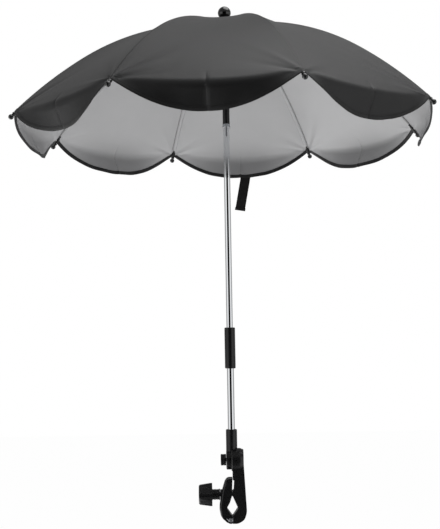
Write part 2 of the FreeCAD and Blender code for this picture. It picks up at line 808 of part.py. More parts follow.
def make_swivel():
    along = Vector(1, 0, 0)
    left = "-hub_left"
    hub = blank("socket_hub", [(left, "0"), (left, "hub_radius - hub_chamfer"),
                               (f"{left} + hub_chamfer", "hub_radius"), (HUB_FACE, "hub_radius"),
                               (HUB_FACE, "0")], "H_Axis", "hub_height")
    neck = "socket_radius - socket_chamfer"
    stem = blank("socket_stem", [("0", "hub_height"), ("socket_radius", "hub_height"),
                                 ("socket_radius", f"{SOCKET_TOP} - socket_chamfer"), (neck, SOCKET_TOP),
                                 ("0", SOCKET_TOP)])
    disc_gap = cylinder("socket_relief", "arm_disc_radius + free_gap",
                        "socket_radius + hub_setback + overrun", x=HUB_FACE, z="hub_height", axis=along)
    bore = cylinder("socket_bore", "lower_radius + running_gap", f"{SOCKET_TOP} - {POLE_FOOT} + overrun",
                    z=POLE_FOOT)
    bolt_bore = "bolt_radius + running_gap"
    bolt_hole = cylinder("socket_bolt_hole", bolt_bore, "hub_left", x=left, z="hub_height", axis=along)
    cuts = fused("socket_cuts", [disc_gap, bore, bolt_hole])
    keep(less("pole_socket", fused("socket_blank", [hub, stem]), cuts), "pole_socket")
    turned("friction_washer", [(HUB_FACE, bolt_bore), (HUB_FACE, "friction_radius"),
                               (ARM_FACE, "friction_radius"), (ARM_FACE, bolt_bore)], "H_Axis", "hub_height")
    knob_right = f"{left} - free_gap"
    bolt_left = f"{knob_right} - bolt_reach"
    head = "arm_disc_right - bolt_head_length"
    turned("pivot_bolt", [(bolt_left, "0"), (bolt_left, "bolt_radius"), (head, "bolt_radius"),
                          (head, "bolt_head_radius"), ("arm_disc_right", "bolt_head_radius"),
                          ("arm_disc_right", "0")], "H_Axis", "hub_height")
    knob_left = f"{knob_right} - swivel_knob_length"
    groove_right = f"{knob_right} - swivel_groove_place"
    groove_left = f"{groove_right} - swivel_groove_width"
    waist = "swivel_knob_radius - swivel_groove_depth"
    bolt_end = f"{bolt_left} - free_gap"
    turned("swivel_knob", [(knob_right, bolt_bore), (knob_right, "swivel_knob_radius"),
                           (groove_right, "swivel_knob_radius"), (groove_right, waist), (groove_left, waist),
                           (groove_left, "swivel_knob_radius"),
                           (f"{knob_left} + swivel_knob_chamfer", "swivel_knob_radius"),
                           (knob_left, "swivel_knob_radius - swivel_knob_chamfer"), (knob_left, "0"),
                           (bolt_end, "0"), (bolt_end, bolt_bore)], "H_Axis", "hub_height")


# Clamp


def round_corners(body, corners):
    """Round corners of a padded outline, each named by its two places and its radius."""
    for across, height, radius in corners:
        corner = (size(across), size(height))

        def stands_on_corner(edge):
            bounds = edge.BoundBox
            upright = max(bounds.XLength, bounds.ZLength) < size("running_gap")
            return upright and math.dist((bounds.XMin, bounds.ZMin), corner) < size("face_gap")

        round_edges(body, radius, stands_on_corner)


def pin_disc(body, radius, low, high, cut):
    """Add or cut a disc round the jaw pin between two depths along Y."""
    sketch = sketch_on(body, "XZ_Plane", f"-({high})")
    draw_circle(sketch, "pin_x", "pin_height", radius)
    if cut:
        return pocket(body, sketch, f"{high} - ({low})", forward=True)
    return pad(body, sketch, f"{high} - ({low})")


def cross_hole(body, height, radius, start, end):
    """A hole along X between two places, at a height."""
    sketch = sketch_on(body, "YZ_Plane", start)
    draw_circle(sketch, "0", height, radius)
    return pocket(body, sketch, f"{end} - ({start})", forward=True)


def make_arm():
    body = new_body("clamp_arm")
    sketch = sketch_on(body, "XZ_Plane")
    draw_polygon(sketch, [
        (ARM_FACE, "hub_height"), (ARM_FACE, "slit_top"), ("slit_x", "slit_shoulder"),
        ("slit_foot_x", "slit_low"), ("face_x", "face_high"), ("face_x", "face_low"), ("vee_x", "vee_height"),
        ("face_x", "vee_foot"), ("face_x", "clamp_foot"), ("arm_foot_left", "clamp_foot"),
        ("arm_foot_right", "arm_foot_right_height"), ("arm_wide_right", "arm_wide_height"),
        ("arm_top_right", "hub_height")])
    pad(body, sketch, "clamp_depth", symmetric=True)
    round_corners(body, [("arm_foot_left", "clamp_foot", "arm_foot_round"),
                         ("arm_foot_right", "arm_foot_right_height", "arm_foot_round"),
                         ("arm_wide_right", "arm_wide_height", "arm_wide_round")])
    disc = sketch_on(body, "XZ_Plane")
    bind(disc, AttachmentOffset__Base__y="hub_height")
    draw_polygon(disc, [(ARM_FACE, "0"), (ARM_FACE, "arm_disc_radius"),
                        ("arm_disc_right - arm_bevel_width", "arm_disc_radius"),
                        ("arm_disc_right", "arm_disc_radius - arm_bevel_drop"), ("arm_disc_right", "0")])
    revolve(body, disc, "H_Axis")
    pin_disc(body, "lug_radius", "-clamp_depth / 2", "clamp_depth / 2", cut=False)
    lug_gap = "lug_half_width + free_gap"
    pin_disc(body, "lug_radius + free_gap", f"-({lug_gap})", lug_gap, cut=True)
    pin_disc(body, "pin_radius + running_gap", "-clamp_depth / 2", "clamp_depth / 2", cut=True)
    screw_foot = "face_x - overrun"
    nut_end = "nut_start + nut_length"
    cross_hole(body, "screw_height", "screw_radius + fork_gap", screw_foot, "screw_end + free_gap")
    cross_hole(body, "screw_height", "nut_radius + running_gap", "nut_start", nut_end)
    head = "arm_disc_right - bolt_head_length"
    cross_hole(body, "hub_height", "bolt_radius + running_gap", HUB_FACE, "arm_disc_right")
    cross_hole(body, "hub_height", "bolt_head_radius + running_gap", head, "arm_disc_right + overrun")
    keep(body, "clamp_arm")


def make_jaw():
    body = new_body("moving_jaw")
    sketch = sketch_on(body, "XZ_Plane")
    inner = "face_x - face_gap"
    heel = f"{ARM_FACE} - face_gap"
    draw_polygon(sketch, [
        (heel, "jaw_top"), ("jaw_top_left", "jaw_top"), ("jaw_waist_x", "jaw_waist_height"),
        ("jaw_wide_x", "jaw_wide_height"), ("jaw_low_x", "jaw_low_height"), ("jaw_foot_x", "jaw_foot_height"),
        (inner, "vee_foot"), ("jaw_vee_x", "vee_height"), ("jaw_brow_x", "jaw_brow_height"),
        (inner, "face_low"), (inner, "face_high")])
    pad(body, sketch, "clamp_depth", symmetric=True)
    round_corners(body, [("jaw_top_left", "jaw_top", "jaw_top_round"),
                         ("jaw_waist_x", "jaw_waist_height", "jaw_waist_round"),
                         ("jaw_wide_x", "jaw_wide_height", "jaw_wide_round"),
                         ("jaw_low_x", "jaw_low_height", "jaw_low_round")])
    boss = sketch_on(body, "YZ_Plane", "pressure_x + free_gap")
    draw_circle(boss, "0", "screw_height", "screw_neck_radius")
    pad(body, boss, "boss_length")
    side = "clamp_depth / 2"
    pin_disc(body, "lug_radius", "-lug_half_width", "lug_half_width", cut=False)
    pin_disc(body, "lug_radius + free_gap", "lug_half_width", f"{side} + overrun", cut=True)
    pin_disc(body, "lug_radius + free_gap", f"-({side}) - overrun", "-lug_half_width", cut=True)
    pin_disc(body, "pin_radius + running_gap", f"-({side})", side, cut=True)
    slot = sketch_on(body, "YZ_Plane")
    half = "screw_radius + fork_gap"
    high = "jaw_top + overrun"
    other = f"-({half})"
    draw_polygon(slot, [(other, "fork_floor"), (half, "fork_floor"), (half, high), (other, high)])
    pocket(body, slot, "clamp_depth * 2", symmetric=True)
    keep(body, "moving_jaw")
    pin = cylinder("jaw_pin", "pin_radius", "clamp_depth", x="pin_x", y=f"-({side})", z="pin_height",
                   axis=Vector(0, 1, 0))
    keep(pin, "jaw_pin")


def make_screw():
    """Nut in the arm, screw with its lobed knob, washer between knob and jaw."""
    bore = "screw_radius + running_gap"
    nut_end = "nut_start + nut_length"
    turned("screw_nut", [("nut_start", bore), ("nut_start", "nut_radius"), (nut_end, "nut_radius"),
                         (nut_end, bore)], "H_Axis", "screw_height")
    left = "pressure_x - pressure_thickness"
    turned("pressure_washer", [("pressure_x", bore), ("pressure_x", "pressure_radius"),
                               (left, "pressure_radius"), (left, bore)], "H_Axis", "screw_height")
    shoulder = f"{left} - running_gap"
    rim = f"{shoulder} - screw_neck_length"
    screw_left = f"{rim} - screw_inset"
    turned("clamp_screw", [(screw_left, "0"), (screw_left, "screw_radius"), ("screw_end", "screw_radius"),
                           ("screw_end", "0")], "H_Axis", "screw_height")
    neck = []
    waist = "screw_neck_radius - neck_groove_depth"
    for index in range(int(size("neck_groove_count"))):
        start = f"{shoulder} - {2 * index + 1} * neck_groove_width"
        end = f"{shoulder} - {2 * index + 2} * neck_groove_width"
        neck += [(start, "screw_neck_radius"), (start, waist), (end, waist), (end, "screw_neck_radius")]
    far = f"{rim} - knob_length"
    bore_end = f"{screw_left} - running_gap"
    knob = turned("screw_knob", [
        (shoulder, bore), (shoulder, "screw_neck_radius"), *neck, (rim, "screw_neck_radius"),
        (rim, "knob_radius"), (f"{rim} - knob_rim", "knob_radius"),
        (f"{far} + knob_chamfer", "knob_outer_radius"), (far, "knob_outer_radius - knob_chamfer"), (far, "0"),
        (bore_end, "0"), (bore_end, bore)], "H_Axis", "screw_height")
    lobes = sketch_on(knob, "YZ_Plane", far)
    draw_circle(lobes, "lobe_cut_circle", "0", "lobe_cut_radius")
    cut = pocket(knob, lobes, "knob_length", forward=True)
    repeat_round(knob, cut, lobes, "N_Axis", "lobe_count")


make_head()
make_notch()
make_runner()
make_tilt_joint()
make_swivel()
make_arm()
make_jaw()
make_screw()
repeat_on_ribs("rib", rib_shape())
repeat_on_ribs("rib_tip", tip_shape())
repeat_on_ribs("stretcher", stretcher_shape())
repeat_on_ribs("canopy_gore", gore_shape())
make_strap()
doc.recompute()

for item in doc.Objects:
    if any(word in item.State for word in ("Invalid", "Error")):
        raise RuntimeError(f"{item.Label} failed: {item.State}")
for item in sub_parts:
    if item.Shape.isNull() or not item.Shape.isValid() or len(item.Shape.Solids) != 1:
        raise RuntimeError(f"{item.Label} is not one valid solid")

os.makedirs("parts", exist_ok=True)
for item in sub_parts:
    item.Shape.exportStep(f"parts/{item.Label}.step")

print("sub-parts", len(sub_parts))
print("notch hinge", notch_hinge, "runner hinge", runner_hinge, "joint", (joint_across, joint_height))
print("fold degrees", math.degrees(fold_angle), "runner travel", runner_travel, "arm", arm_length)
print("open arm degrees", math.degrees(arm_open), "tip", (tip_across, tip_height), math.degrees(tip_heading))
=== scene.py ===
import json
import math
import random

import bmesh
import bpy
import numpy as np
from mathutils import Matrix, Vector


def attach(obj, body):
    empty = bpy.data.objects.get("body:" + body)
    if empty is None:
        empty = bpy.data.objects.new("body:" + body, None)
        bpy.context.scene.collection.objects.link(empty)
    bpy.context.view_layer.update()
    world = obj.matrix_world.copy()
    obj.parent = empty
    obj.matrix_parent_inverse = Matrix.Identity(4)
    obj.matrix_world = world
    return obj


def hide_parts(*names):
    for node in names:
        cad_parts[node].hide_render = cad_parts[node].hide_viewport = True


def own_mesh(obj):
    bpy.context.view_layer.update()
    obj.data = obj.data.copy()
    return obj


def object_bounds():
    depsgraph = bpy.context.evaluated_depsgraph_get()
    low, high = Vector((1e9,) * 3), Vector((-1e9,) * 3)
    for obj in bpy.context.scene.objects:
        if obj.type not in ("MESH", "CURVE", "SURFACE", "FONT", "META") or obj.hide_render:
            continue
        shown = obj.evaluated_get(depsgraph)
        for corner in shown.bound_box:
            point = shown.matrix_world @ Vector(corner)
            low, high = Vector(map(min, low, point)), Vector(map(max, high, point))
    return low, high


bl_info = {
    "name": "Pram parasol",
    "version": (1, 0, 0),
    "blender": (4, 5, 0),
    "location": "View3D > Sidebar > Parasol",
    "description": "Canopy cloth, finishes and stage of a clamp-on pram parasol",
    "category": "Object",
}

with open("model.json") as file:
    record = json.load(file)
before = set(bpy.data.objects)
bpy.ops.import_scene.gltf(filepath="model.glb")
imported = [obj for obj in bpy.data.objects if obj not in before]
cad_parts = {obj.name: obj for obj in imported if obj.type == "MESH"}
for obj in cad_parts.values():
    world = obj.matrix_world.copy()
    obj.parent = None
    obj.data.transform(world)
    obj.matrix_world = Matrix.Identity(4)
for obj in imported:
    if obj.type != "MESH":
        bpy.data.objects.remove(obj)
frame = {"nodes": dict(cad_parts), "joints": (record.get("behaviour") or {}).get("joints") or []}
cad_low, cad_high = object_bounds()
joint_named = {joint["name"]: joint for joint in frame["joints"]}

MM = 0.001
RIBS = range(1, 9)
RIB_PITCH = math.tau / len(RIBS)
HINGE = Vector(joint_named["rib_1_fold"]["pos_m"])

# The rib's line as in the part's source: three tangent arcs, each a length and a turn
RIB_SLOPE = math.radians(5)
RIB_ARCS = (
    (75 * MM, math.radians(4.7)),
    (180 * MM, math.radians(24.3)),
    (165 * MM, math.radians(12.5)),
)
RIB_LENGTH = sum(length for length, turn in RIB_ARCS)

# The cloth lies above the rib; past the dome a scallop folds over, hangs and slants inwards
CLOTH_LIFT = 2.3 * MM
DOME_RUN = RIB_LENGTH - 22 * MM
HEM_AT_RIB = 10.5 * MM
SCALLOP_LENGTH = 67 * MM
HEM_HEADING = math.radians(118)
HEM_POWER = 0.95
RIB_HANG_SHARE = 0.04
FOLD_DIP = 19 * MM
FOLD_SHARE = 0.3
PANEL_SAG = 6 * MM
TAPE_THICKNESS = 0.6 * MM

# Creases start a little way from a rib's tip; a dart at each scallop's middle eases off at the hem
CREASES_PER_CORNER = 4
CREASE_START = 9 * MM
DART_DEPTH = 2.4 * MM
DART_WIDTH = 2.2 * MM
DART_EASE = 0.75

# The casing starts past the stretcher's joint and ends short of the fold
CASING_START = 222 * MM
CASING_END = DOME_RUN - 4 * MM
CASING_DEPTH = 4 * MM

# The strap hangs from the panel that follows this rib
STRAP_RIB = 2

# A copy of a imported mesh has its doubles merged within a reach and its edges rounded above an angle
MERGE_REACH = 0.002 * MM
SHARP_ANGLE = math.radians(40)

# Stage in metres: the floor, a ring of card that polished metal mirrors, and two soft lights
FLOOR_SIZE = 14
CARD_RADIUS = 3
CARD_DEPTH = 6
CARD_MIDDLE = -1.4
KEY_PLACE = (0.6, -0.1, 2.6)
KEY_TARGET = (0, 0, 0.7)
KEY_SIZE = 2.2
BOUNCE_SIZE = 1.0

# Angle from the front in degrees and grey of the card
CARD_TONES = ((1, 0.004), (30, 0.004), (36, 1.0), (74, 1.0), (94, 0.42), (179, 0.30))

# Axis, and the places on it from which and to which the card brightens low on the left
LOW_CARD_GATES = (("Z", 0.9, 0.6), ("X", -0.5, -1.5), ("Y", -0.7, 0.0))


def linear(hex_code):
    """Linear colour with alpha from an sRGB hex code."""
    shares = [int(hex_code[i:i + 2], 16) / 255 for i in (1, 3, 5)]
    return tuple(s / 12.92 if s <= 0.04045 else ((s + 0.055) / 1.055) ** 2.4 for s in shares) + (1.0,)


def length_setting(name, description, default):
    return bpy.props.FloatProperty(
        name=name, description=description, default=default, unit="LENGTH", precision=4)


def colour_setting(name, description, hex_code):
    return bpy.props.FloatVectorProperty(
        name=name, description=description, default=linear(hex_code), size=4, subtype="COLOR", min=0, max=1)


class ParasolSizes(bpy.types.PropertyGroup):
    """Sizes of the sewn and rounded details."""
    cloth_thickness: length_setting("Cloth", "Thickness of the canopy cloth", 0.6 * MM)
    crease_depth: length_setting("Crease depth", "Depth of the creases at the rib tips", 2.86 * MM)
    ripple_depth: length_setting("Hem ripple", "Height of the ripple along the hem", 0.7 * MM)
    binding_width: length_setting("Binding", "Width of the tape round the hem", 7 * MM)
    casing_width: length_setting("Casing", "Width of the casing sewn over each rib", 8 * MM)
    stitch_length: length_setting("Stitch", "Length of one stitch", 2.4 * MM)
    stitch_step: length_setting("Stitch step", "Spacing of the stitches", 3.4 * MM)
    screw_lead: length_setting("Screw lead", "Travel of the clamp screw in one turn", 3.5 * MM)
    jaw_round: length_setting("Jaw round", "Rounding along the outside of the jaw", 4.5 * MM)
    thread_pitch: length_setting("Thread pitch", "Spacing of the weave as drawn", 1.6 * MM)
    strap_width: length_setting("Strap width", "Width of the tie strap", 20 * MM)
    strap_length: length_setting("Strap length", "Length of the tie strap", 78 * MM)
    strap_hem: length_setting("Strap hem", "Length of the turned-in end of the strap", 5 * MM)
    strap_lean: bpy.props.FloatProperty(
        name="Strap lean", description="Slant of the hanging strap",
        default=math.radians(10), subtype="ANGLE")
    fold_keep: bpy.props.FloatProperty(
        name="Folded width", description="Share of its width that a gore keeps when folded",
        default=0.27, min=0.02, max=1, subtype="FACTOR")


class ParasolColours(bpy.types.PropertyGroup):
    """Colours of the finishes."""
    cloth_outside: colour_setting("Cloth outside", "Dyed outside of the canopy", "#19191a")
    cloth_inside: colour_setting("Cloth inside", "Coated inside of the canopy", "#a6a6a7")
    tape: colour_setting("Tape", "Hem binding and pockets", "#060607")
    strap: colour_setting("Strap", "Hook and loop strap", "#151516")
    chrome: colour_setting("Chrome", "Plated poles", "#e4e6e8")
    nylon: colour_setting("Nylon", "Moulded clamp pieces", "#0d0d0e")
    gloss: colour_setting("Gloss", "Top knob and rib tips", "#060607")
    lacquer: colour_setting("Lacquer", "Ribs and stretchers", "#111112")
    steel: colour_setting("Steel", "Pins, wires and screws", "#b6b9bd")
    rubber: colour_setting("Rubber", "Friction washer", "#0a0a0a")


class ParasolStage(bpy.types.PropertyGroup):
    """Camera and light."""
    camera_place: bpy.props.FloatVectorProperty(
        name="Camera", description="Place of the camera",
        default=(-0.0150, -1.8953, 0.2880), subtype="TRANSLATION")
    camera_pitch: bpy.props.FloatProperty(
        name="Pitch", description="Upward tilt of the camera", default=math.radians(3.918), subtype="ANGLE")
    camera_roll: bpy.props.FloatProperty(
        name="Roll", description="Roll of the camera", default=math.radians(-0.949), subtype="ANGLE")
    camera_lens: bpy.props.FloatProperty(
        name="Lens", description="Focal length", default=73.99, subtype="DISTANCE_CAMERA")
    sky: bpy.props.FloatProperty(name="Sky", description="Even light from all round", default=0.3)
    key: bpy.props.FloatProperty(
        name="Key", description="Power of the soft light overhead", default=30, subtype="POWER")
    bounce: bpy.props.FloatProperty(
        name="Bounce", description="Power of the light from below", default=5.6, subtype="POWER")
    floor_drop: length_setting(
        "Floor drop", "Height of the clamp above the floor, as on a pram's handle", 450 * MM)
    low_card: bpy.props.FloatProperty(
        name="Low card", description="Extra brightness of the ring of card low on the left", default=6)


# Shader nodes


def add(tree, kind, inputs=(), **settings):
    """Add a shader node, set it up and feed its inputs with values or sockets."""
    made = tree.nodes.new("ShaderNode" + kind)
    for name, value in settings.items():
        setattr(made, name, value)
    for name, value in dict(inputs).items():
        if isinstance(value, bpy.types.NodeSocket):
            tree.links.new(value, made.inputs[name])
        else:
            made.inputs[name].default_value = value
    return made


def new_finish(name):
    made = bpy.data.materials.new(name)
    made.use_nodes = True
    made.node_tree.nodes.clear()
    return made, made.node_tree


def band_scale(pitch):
    """Scale of a wave texture whose bands repeat at a pitch in metres."""
    return math.tau / (20 * pitch)


def woven_cloth(name, colour, sheen, roughness, gloss, bump, tone_depth):
    """Plain weave on the cloth's own map, with a slow change of tone.

    The weave is too fine to show true, so it is drawn coarser.
    """
    made, tree = new_finish(name)
    pitch = bpy.context.scene.parasol_sizes.thread_pitch
    place = add(tree, "UVMap", uv_map="cloth")
    uv = place.outputs["UV"]
    warp = add(tree, "TexWave", {"Vector": uv, "Scale": band_scale(pitch)}, bands_direction="X")
    weft = add(tree, "TexWave", {"Vector": uv, "Scale": band_scale(pitch)}, bands_direction="Y")
    weave = add(tree, "Math", {0: warp.outputs["Fac"], 1: weft.outputs["Fac"]}, operation="MULTIPLY")
    cloud = add(tree, "TexNoise", {"Vector": uv, "Scale": 9.0, "Detail": 4.0, "Roughness": 0.6})
    tone = add(tree, "ValToRGB", {"Fac": cloud.outputs["Fac"]})
    dark = [part * (1 - tone_depth) for part in colour[:3]] + [1]
    tone.color_ramp.elements[0].color = dark
    tone.color_ramp.elements[0].position = 0.3
    tone.color_ramp.elements[1].color = colour
    tone.color_ramp.elements[1].position = 0.7
    raised = add(tree, "Bump", {"Height": weave.outputs[0], "Strength": bump, "Distance": 0.3 * MM})
    surface = add(tree, "BsdfPrincipled", {
        "Base Color": tone.outputs["Color"], "Roughness": roughness, "Specular IOR Level": gloss,
        "Sheen Weight": sheen, "Sheen Roughness": 0.35, "Normal": raised.outputs["Normal"]})
    add(tree, "OutputMaterial", {"Surface": surface.outputs["BSDF"]})
    return made


def polyester_outside():
    """Dyed polyester, calendered: black in the shade and softly bright where it slants to the light."""
    colour = bpy.context.scene.parasol_colours.cloth_outside
    return woven_cloth("black_polyester", colour, sheen=0.12, roughness=0.5, gloss=0.45, bump=0.25,
                       tone_depth=0.12)


def silver_coating():
    """Silver polyurethane coat that keeps the sun off: smooth, satin, the weave just shows."""
    colour = bpy.context.scene.parasol_colours.cloth_inside
    return woven_cloth("silver_coating", colour, sheen=0.0, roughness=0.42, gloss=0.5, bump=0.1,
                       tone_depth=0.06)


def binding_tape():
    """Black polyester tape, ribbed across, with a dull face."""
    made, tree = new_finish("binding_tape")
    rib_pitch = 1.2 * MM
    place = add(tree, "UVMap", uv_map="cloth")
    ribs = add(tree, "TexWave", {"Vector": place.outputs["UV"], "Scale": band_scale(rib_pitch)},
               bands_direction="X")
    raised = add(tree, "Bump", {"Height": ribs.outputs["Fac"], "Strength": 0.4, "Distance": 0.2 * MM})
    surface = add(tree, "BsdfPrincipled", {
        "Base Color": bpy.context.scene.parasol_colours.tape, "Roughness": 0.6, "Sheen Weight": 0.1,
        "Normal": raised.outputs["Normal"]})
    add(tree, "OutputMaterial", {"Surface": surface.outputs["BSDF"]})
    return made


def hook_and_loop():
    """Nylon hook and loop web: a dense nap of small loops between two bare, darker selvedges."""
    made, tree = new_finish("hook_and_loop")
    sizes, colours = bpy.context.scene.parasol_sizes, bpy.context.scene.parasol_colours
    selvedge, blur = 2.2 * MM, 0.4 * MM
    place = add(tree, "UVMap", uv_map="cloth")
    nap = add(tree, "TexNoise", {"Vector": place.outputs["UV"], "Scale": 900.0, "Detail": 2.0})
    raised = add(tree, "Bump", {"Height": nap.outputs["Fac"], "Strength": 0.8, "Distance": 0.5 * MM})
    split = add(tree, "SeparateXYZ", {"Vector": place.outputs["UV"]})
    aside = add(tree, "Math", {0: split.outputs["X"]}, operation="ABSOLUTE")
    edge = sizes.strap_width / 2 - selvedge
    bare = add(tree, "MapRange", {"Value": aside.outputs[0], "From Min": edge, "From Max": edge + blur})
    tone = add(tree, "Mix", {"Factor": bare.outputs["Result"], "A": colours.strap, "B": colours.gloss},
               data_type="RGBA")
    surface = add(tree, "BsdfPrincipled", {
        "Base Color": tone.outputs["Result"], "Roughness": 0.85, "Sheen Weight": 0.15,
        "Specular IOR Level": 0.2, "Normal": raised.outputs["Normal"]})
    add(tree, "OutputMaterial", {"Surface": surface.outputs["BSDF"]})
    return made


def sewing_thread():
    """Black polyester thread, twisted: a fine slant along each stitch, a little shine."""
    made, tree = new_finish("sewing_thread")
    twist_pitch = 0.4 * MM
    place = add(tree, "TexCoord")
    twist = add(tree, "TexWave", {"Vector": place.outputs["Object"], "Scale": band_scale(twist_pitch)},
                bands_direction="DIAGONAL")
    raised = add(tree, "Bump", {"Height": twist.outputs["Fac"], "Strength": 0.3, "Distance": 0.05 * MM})
    surface = add(tree, "BsdfPrincipled", {
        "Base Color": bpy.context.scene.parasol_colours.tape, "Roughness": 0.6, "Specular IOR Level": 0.1,
        "Normal": raised.outputs["Normal"]})
    add(tree, "OutputMaterial", {"Surface": surface.outputs["BSDF"]})
    return made


def grained(name, colour, roughness, grain, depth, metallic=0.0, coat=0.0, gloss=0.5):
    """A hard finish with a fine grain that changes both its height and its polish."""
    made, tree = new_finish(name)
    place = add(tree, "TexCoord")
    speck = add(tree, "TexNoise", {"Vector": place.outputs["Object"], "Scale": 1 / grain, "Detail": 3.0})
    polish = add(tree, "MapRange", {
        "Value": speck.outputs["Fac"], "To Min": roughness * 0.8, "To Max": roughness * 1.25})
    raised = add(tree, "Bump", {"Height": speck.outputs["Fac"], "Strength": depth, "Distance": 0.1 * MM})
    surface = add(tree, "BsdfPrincipled", {
        "Base Color": colour, "Roughness": polish.outputs["Result"], "Metallic": metallic,
        "Coat Weight": coat, "Specular IOR Level": gloss, "Normal": raised.outputs["Normal"]})
    add(tree, "OutputMaterial", {"Surface": surface.outputs["BSDF"]})
    return made


def chrome_plate():
    """Drawn steel tube, chrome plated: a mirror with faint lines along its length."""
    made, tree = new_finish("chrome_plate")
    place = add(tree, "TexCoord")
    along = add(tree, "Mapping", {"Vector": place.outputs["Object"], "Scale": (900.0, 900.0, 6.0)})
    lines = add(tree, "TexNoise", {"Vector": along.outputs["Vector"], "Scale": 1.0, "Detail": 3.0})
    polish = add(tree, "MapRange", {"Value": lines.outputs["Fac"], "To Min": 0.02, "To Max": 0.09})
    surface = add(tree, "BsdfPrincipled", {
        "Base Color": bpy.context.scene.parasol_colours.chrome, "Metallic": 1.0,
        "Roughness": polish.outputs["Result"]})
    add(tree, "OutputMaterial", {"Surface": surface.outputs["BSDF"]})
    return made


def moulded_nylon():
    """Glass-filled nylon from a spark-eroded mould: black, fine grained, half matt."""
    colour = bpy.context.scene.parasol_colours.nylon
    return grained("moulded_nylon", colour, roughness=0.28, grain=0.9 * MM, depth=0.18, gloss=0.4)


def gloss_abs():
    """Polished black ABS: hard small highlights."""
    colour = bpy.context.scene.parasol_colours.gloss
    return grained("gloss_abs", colour, roughness=0.12, grain=6 * MM, depth=0.02, coat=0.5)


def black_lacquer():
    """Black stoved lacquer on steel wire."""
    colour = bpy.context.scene.parasol_colours.lacquer
    return grained("black_lacquer", colour, roughness=0.32, grain=2 * MM, depth=0.05)


def bright_steel():
    """Zinc plated steel: grey, satin."""
    colour = bpy.context.scene.parasol_colours.steel
    return grained("bright_steel", colour, roughness=0.28, grain=1.5 * MM, depth=0.05, metallic=1.0)


def friction_rubber():
    """Black rubber: dull all over."""
    colour = bpy.context.scene.parasol_colours.rubber
    return grained("friction_rubber", colour, roughness=0.8, grain=0.8 * MM, depth=0.2)


FINISHES = {
    "black_polyester": polyester_outside,
    "silver_coating": silver_coating,
    "binding_tape": binding_tape,
    "sewing_thread": sewing_thread,
    "hook_and_loop": hook_and_loop,
    "chrome_plate": chrome_plate,
    "moulded_nylon": moulded_nylon,
    "gloss_abs": gloss_abs,
    "black_lacquer": black_lacquer,
    "bright_steel": bright_steel,
    "friction_rubber": friction_rubber,
}


def finish(name):
    """The named finish, made the first time it is asked for."""
    return bpy.data.materials.get(name) or FINISHES[name]()


def dress(node_name, finish_name):
    """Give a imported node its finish."""
    for held in frame["nodes"][node_name].material_slots:
        held.material = finish(finish_name)


# Meshes


def select_only(piece):
    bpy.ops.object.select_all(action="DESELECT")
    piece.select_set(True)
    bpy.context.view_layer.objects.active = piece


def new_piece(name, points, faces, finish_names, spread=None):
    """A mesh object from points and faces, with a map from each point's place on the cloth."""
    mesh = bpy.data.meshes.new(name)
    mesh.from_pydata([tuple(p) for p in points], [], faces)
    piece = bpy.data.objects.new(name, mesh)
    bpy.context.scene.collection.objects.link(piece)
    for finish_name in finish_names:
        mesh.materials.append(finish(finish_name))
    if spread is not None:
        layer = mesh.uv_layers.new(name="cloth")
        for loop in mesh.loops:
            layer.data[loop.index].uv = spread[loop.vertex_index]
    select_only(piece)
    return piece


def apply_modifier(piece, kind, **settings):
    """Add a modifier with its settings and apply it."""
    select_only(piece)
    modifier = piece.modifiers.new(kind.lower(), kind)
    for name, value in settings.items():
        setattr(modifier, name, value)
    bpy.ops.object.modifier_apply(modifier=modifier.name)


def combine(piece, tool, operation):
    """Cut a piece with a tool, or join or trim it, and throw the tool away."""
    apply_modifier(piece, "BOOLEAN", object=tool, operation=operation, solver="EXACT")
    bpy.data.objects.remove(tool)


def smooth(piece, degrees=35):
    select_only(piece)
    bpy.ops.object.shade_smooth_by_angle(angle=math.radians(degrees))


def strip_faces(rows, columns, closed=False):
    """Faces of a grid of points laid out row by row; closed joins the last column to the first."""
    wide = columns if closed else columns - 1
    return [
        (row * columns + column, row * columns + (column + 1) % columns,
         (row + 1) * columns + (column + 1) % columns, (row + 1) * columns + column)
        for row in range(rows - 1) for column in range(wide)]


def tube_faces(rows, columns):
    """Faces of a tube of points laid out row by row, with its two ends."""
    last = (rows - 1) * columns
    ends = [tuple(range(columns)), tuple(last + number for number in reversed(range(columns)))]
    return strip_faces(rows, columns, closed=True) + ends


def node_points(node_name):
    """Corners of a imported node's mesh."""
    return np.array([corner.co for corner in frame["nodes"][node_name].data.vertices])


def travel_along(line):
    """Distance along a line of points, from its first point to each."""
    return np.concatenate([[0], np.cumsum(np.linalg.norm(np.diff(line, axis=0), axis=1))])


def unit_rows(ways):
    """Ways at length one."""
    return ways / np.linalg.norm(ways, axis=1)[:, None]


def outward(piece):
    """Merge doubles and turn every face outwards."""
    select_only(piece)
    bpy.ops.object.mode_set(mode="EDIT")
    bpy.ops.mesh.select_all(action="SELECT")
    bpy.ops.mesh.remove_doubles(threshold=0.001 * MM)
    bpy.ops.mesh.normals_make_consistent(inside=False)
    bpy.ops.object.mode_set(mode="OBJECT")


def turned_piece(name, outline, centre, axis, finish_name):
    """A round piece from an outline of radii and places along an axis."""
    sides = 40
    axis = Vector(axis).normalized()
    first = axis.orthogonal().normalized()
    second = axis.cross(first)
    points = []
    for radius, along in outline:
        for number in range(sides):
            turn = math.tau * number / sides
            round_way = first * math.cos(turn) + second * math.sin(turn)
            points.append(Vector(centre) + axis * along + round_way * radius)
    piece = new_piece(name, points, strip_faces(len(outline), sides, closed=True), (finish_name,))
    outward(piece)
    smooth(piece, 40)
    return piece


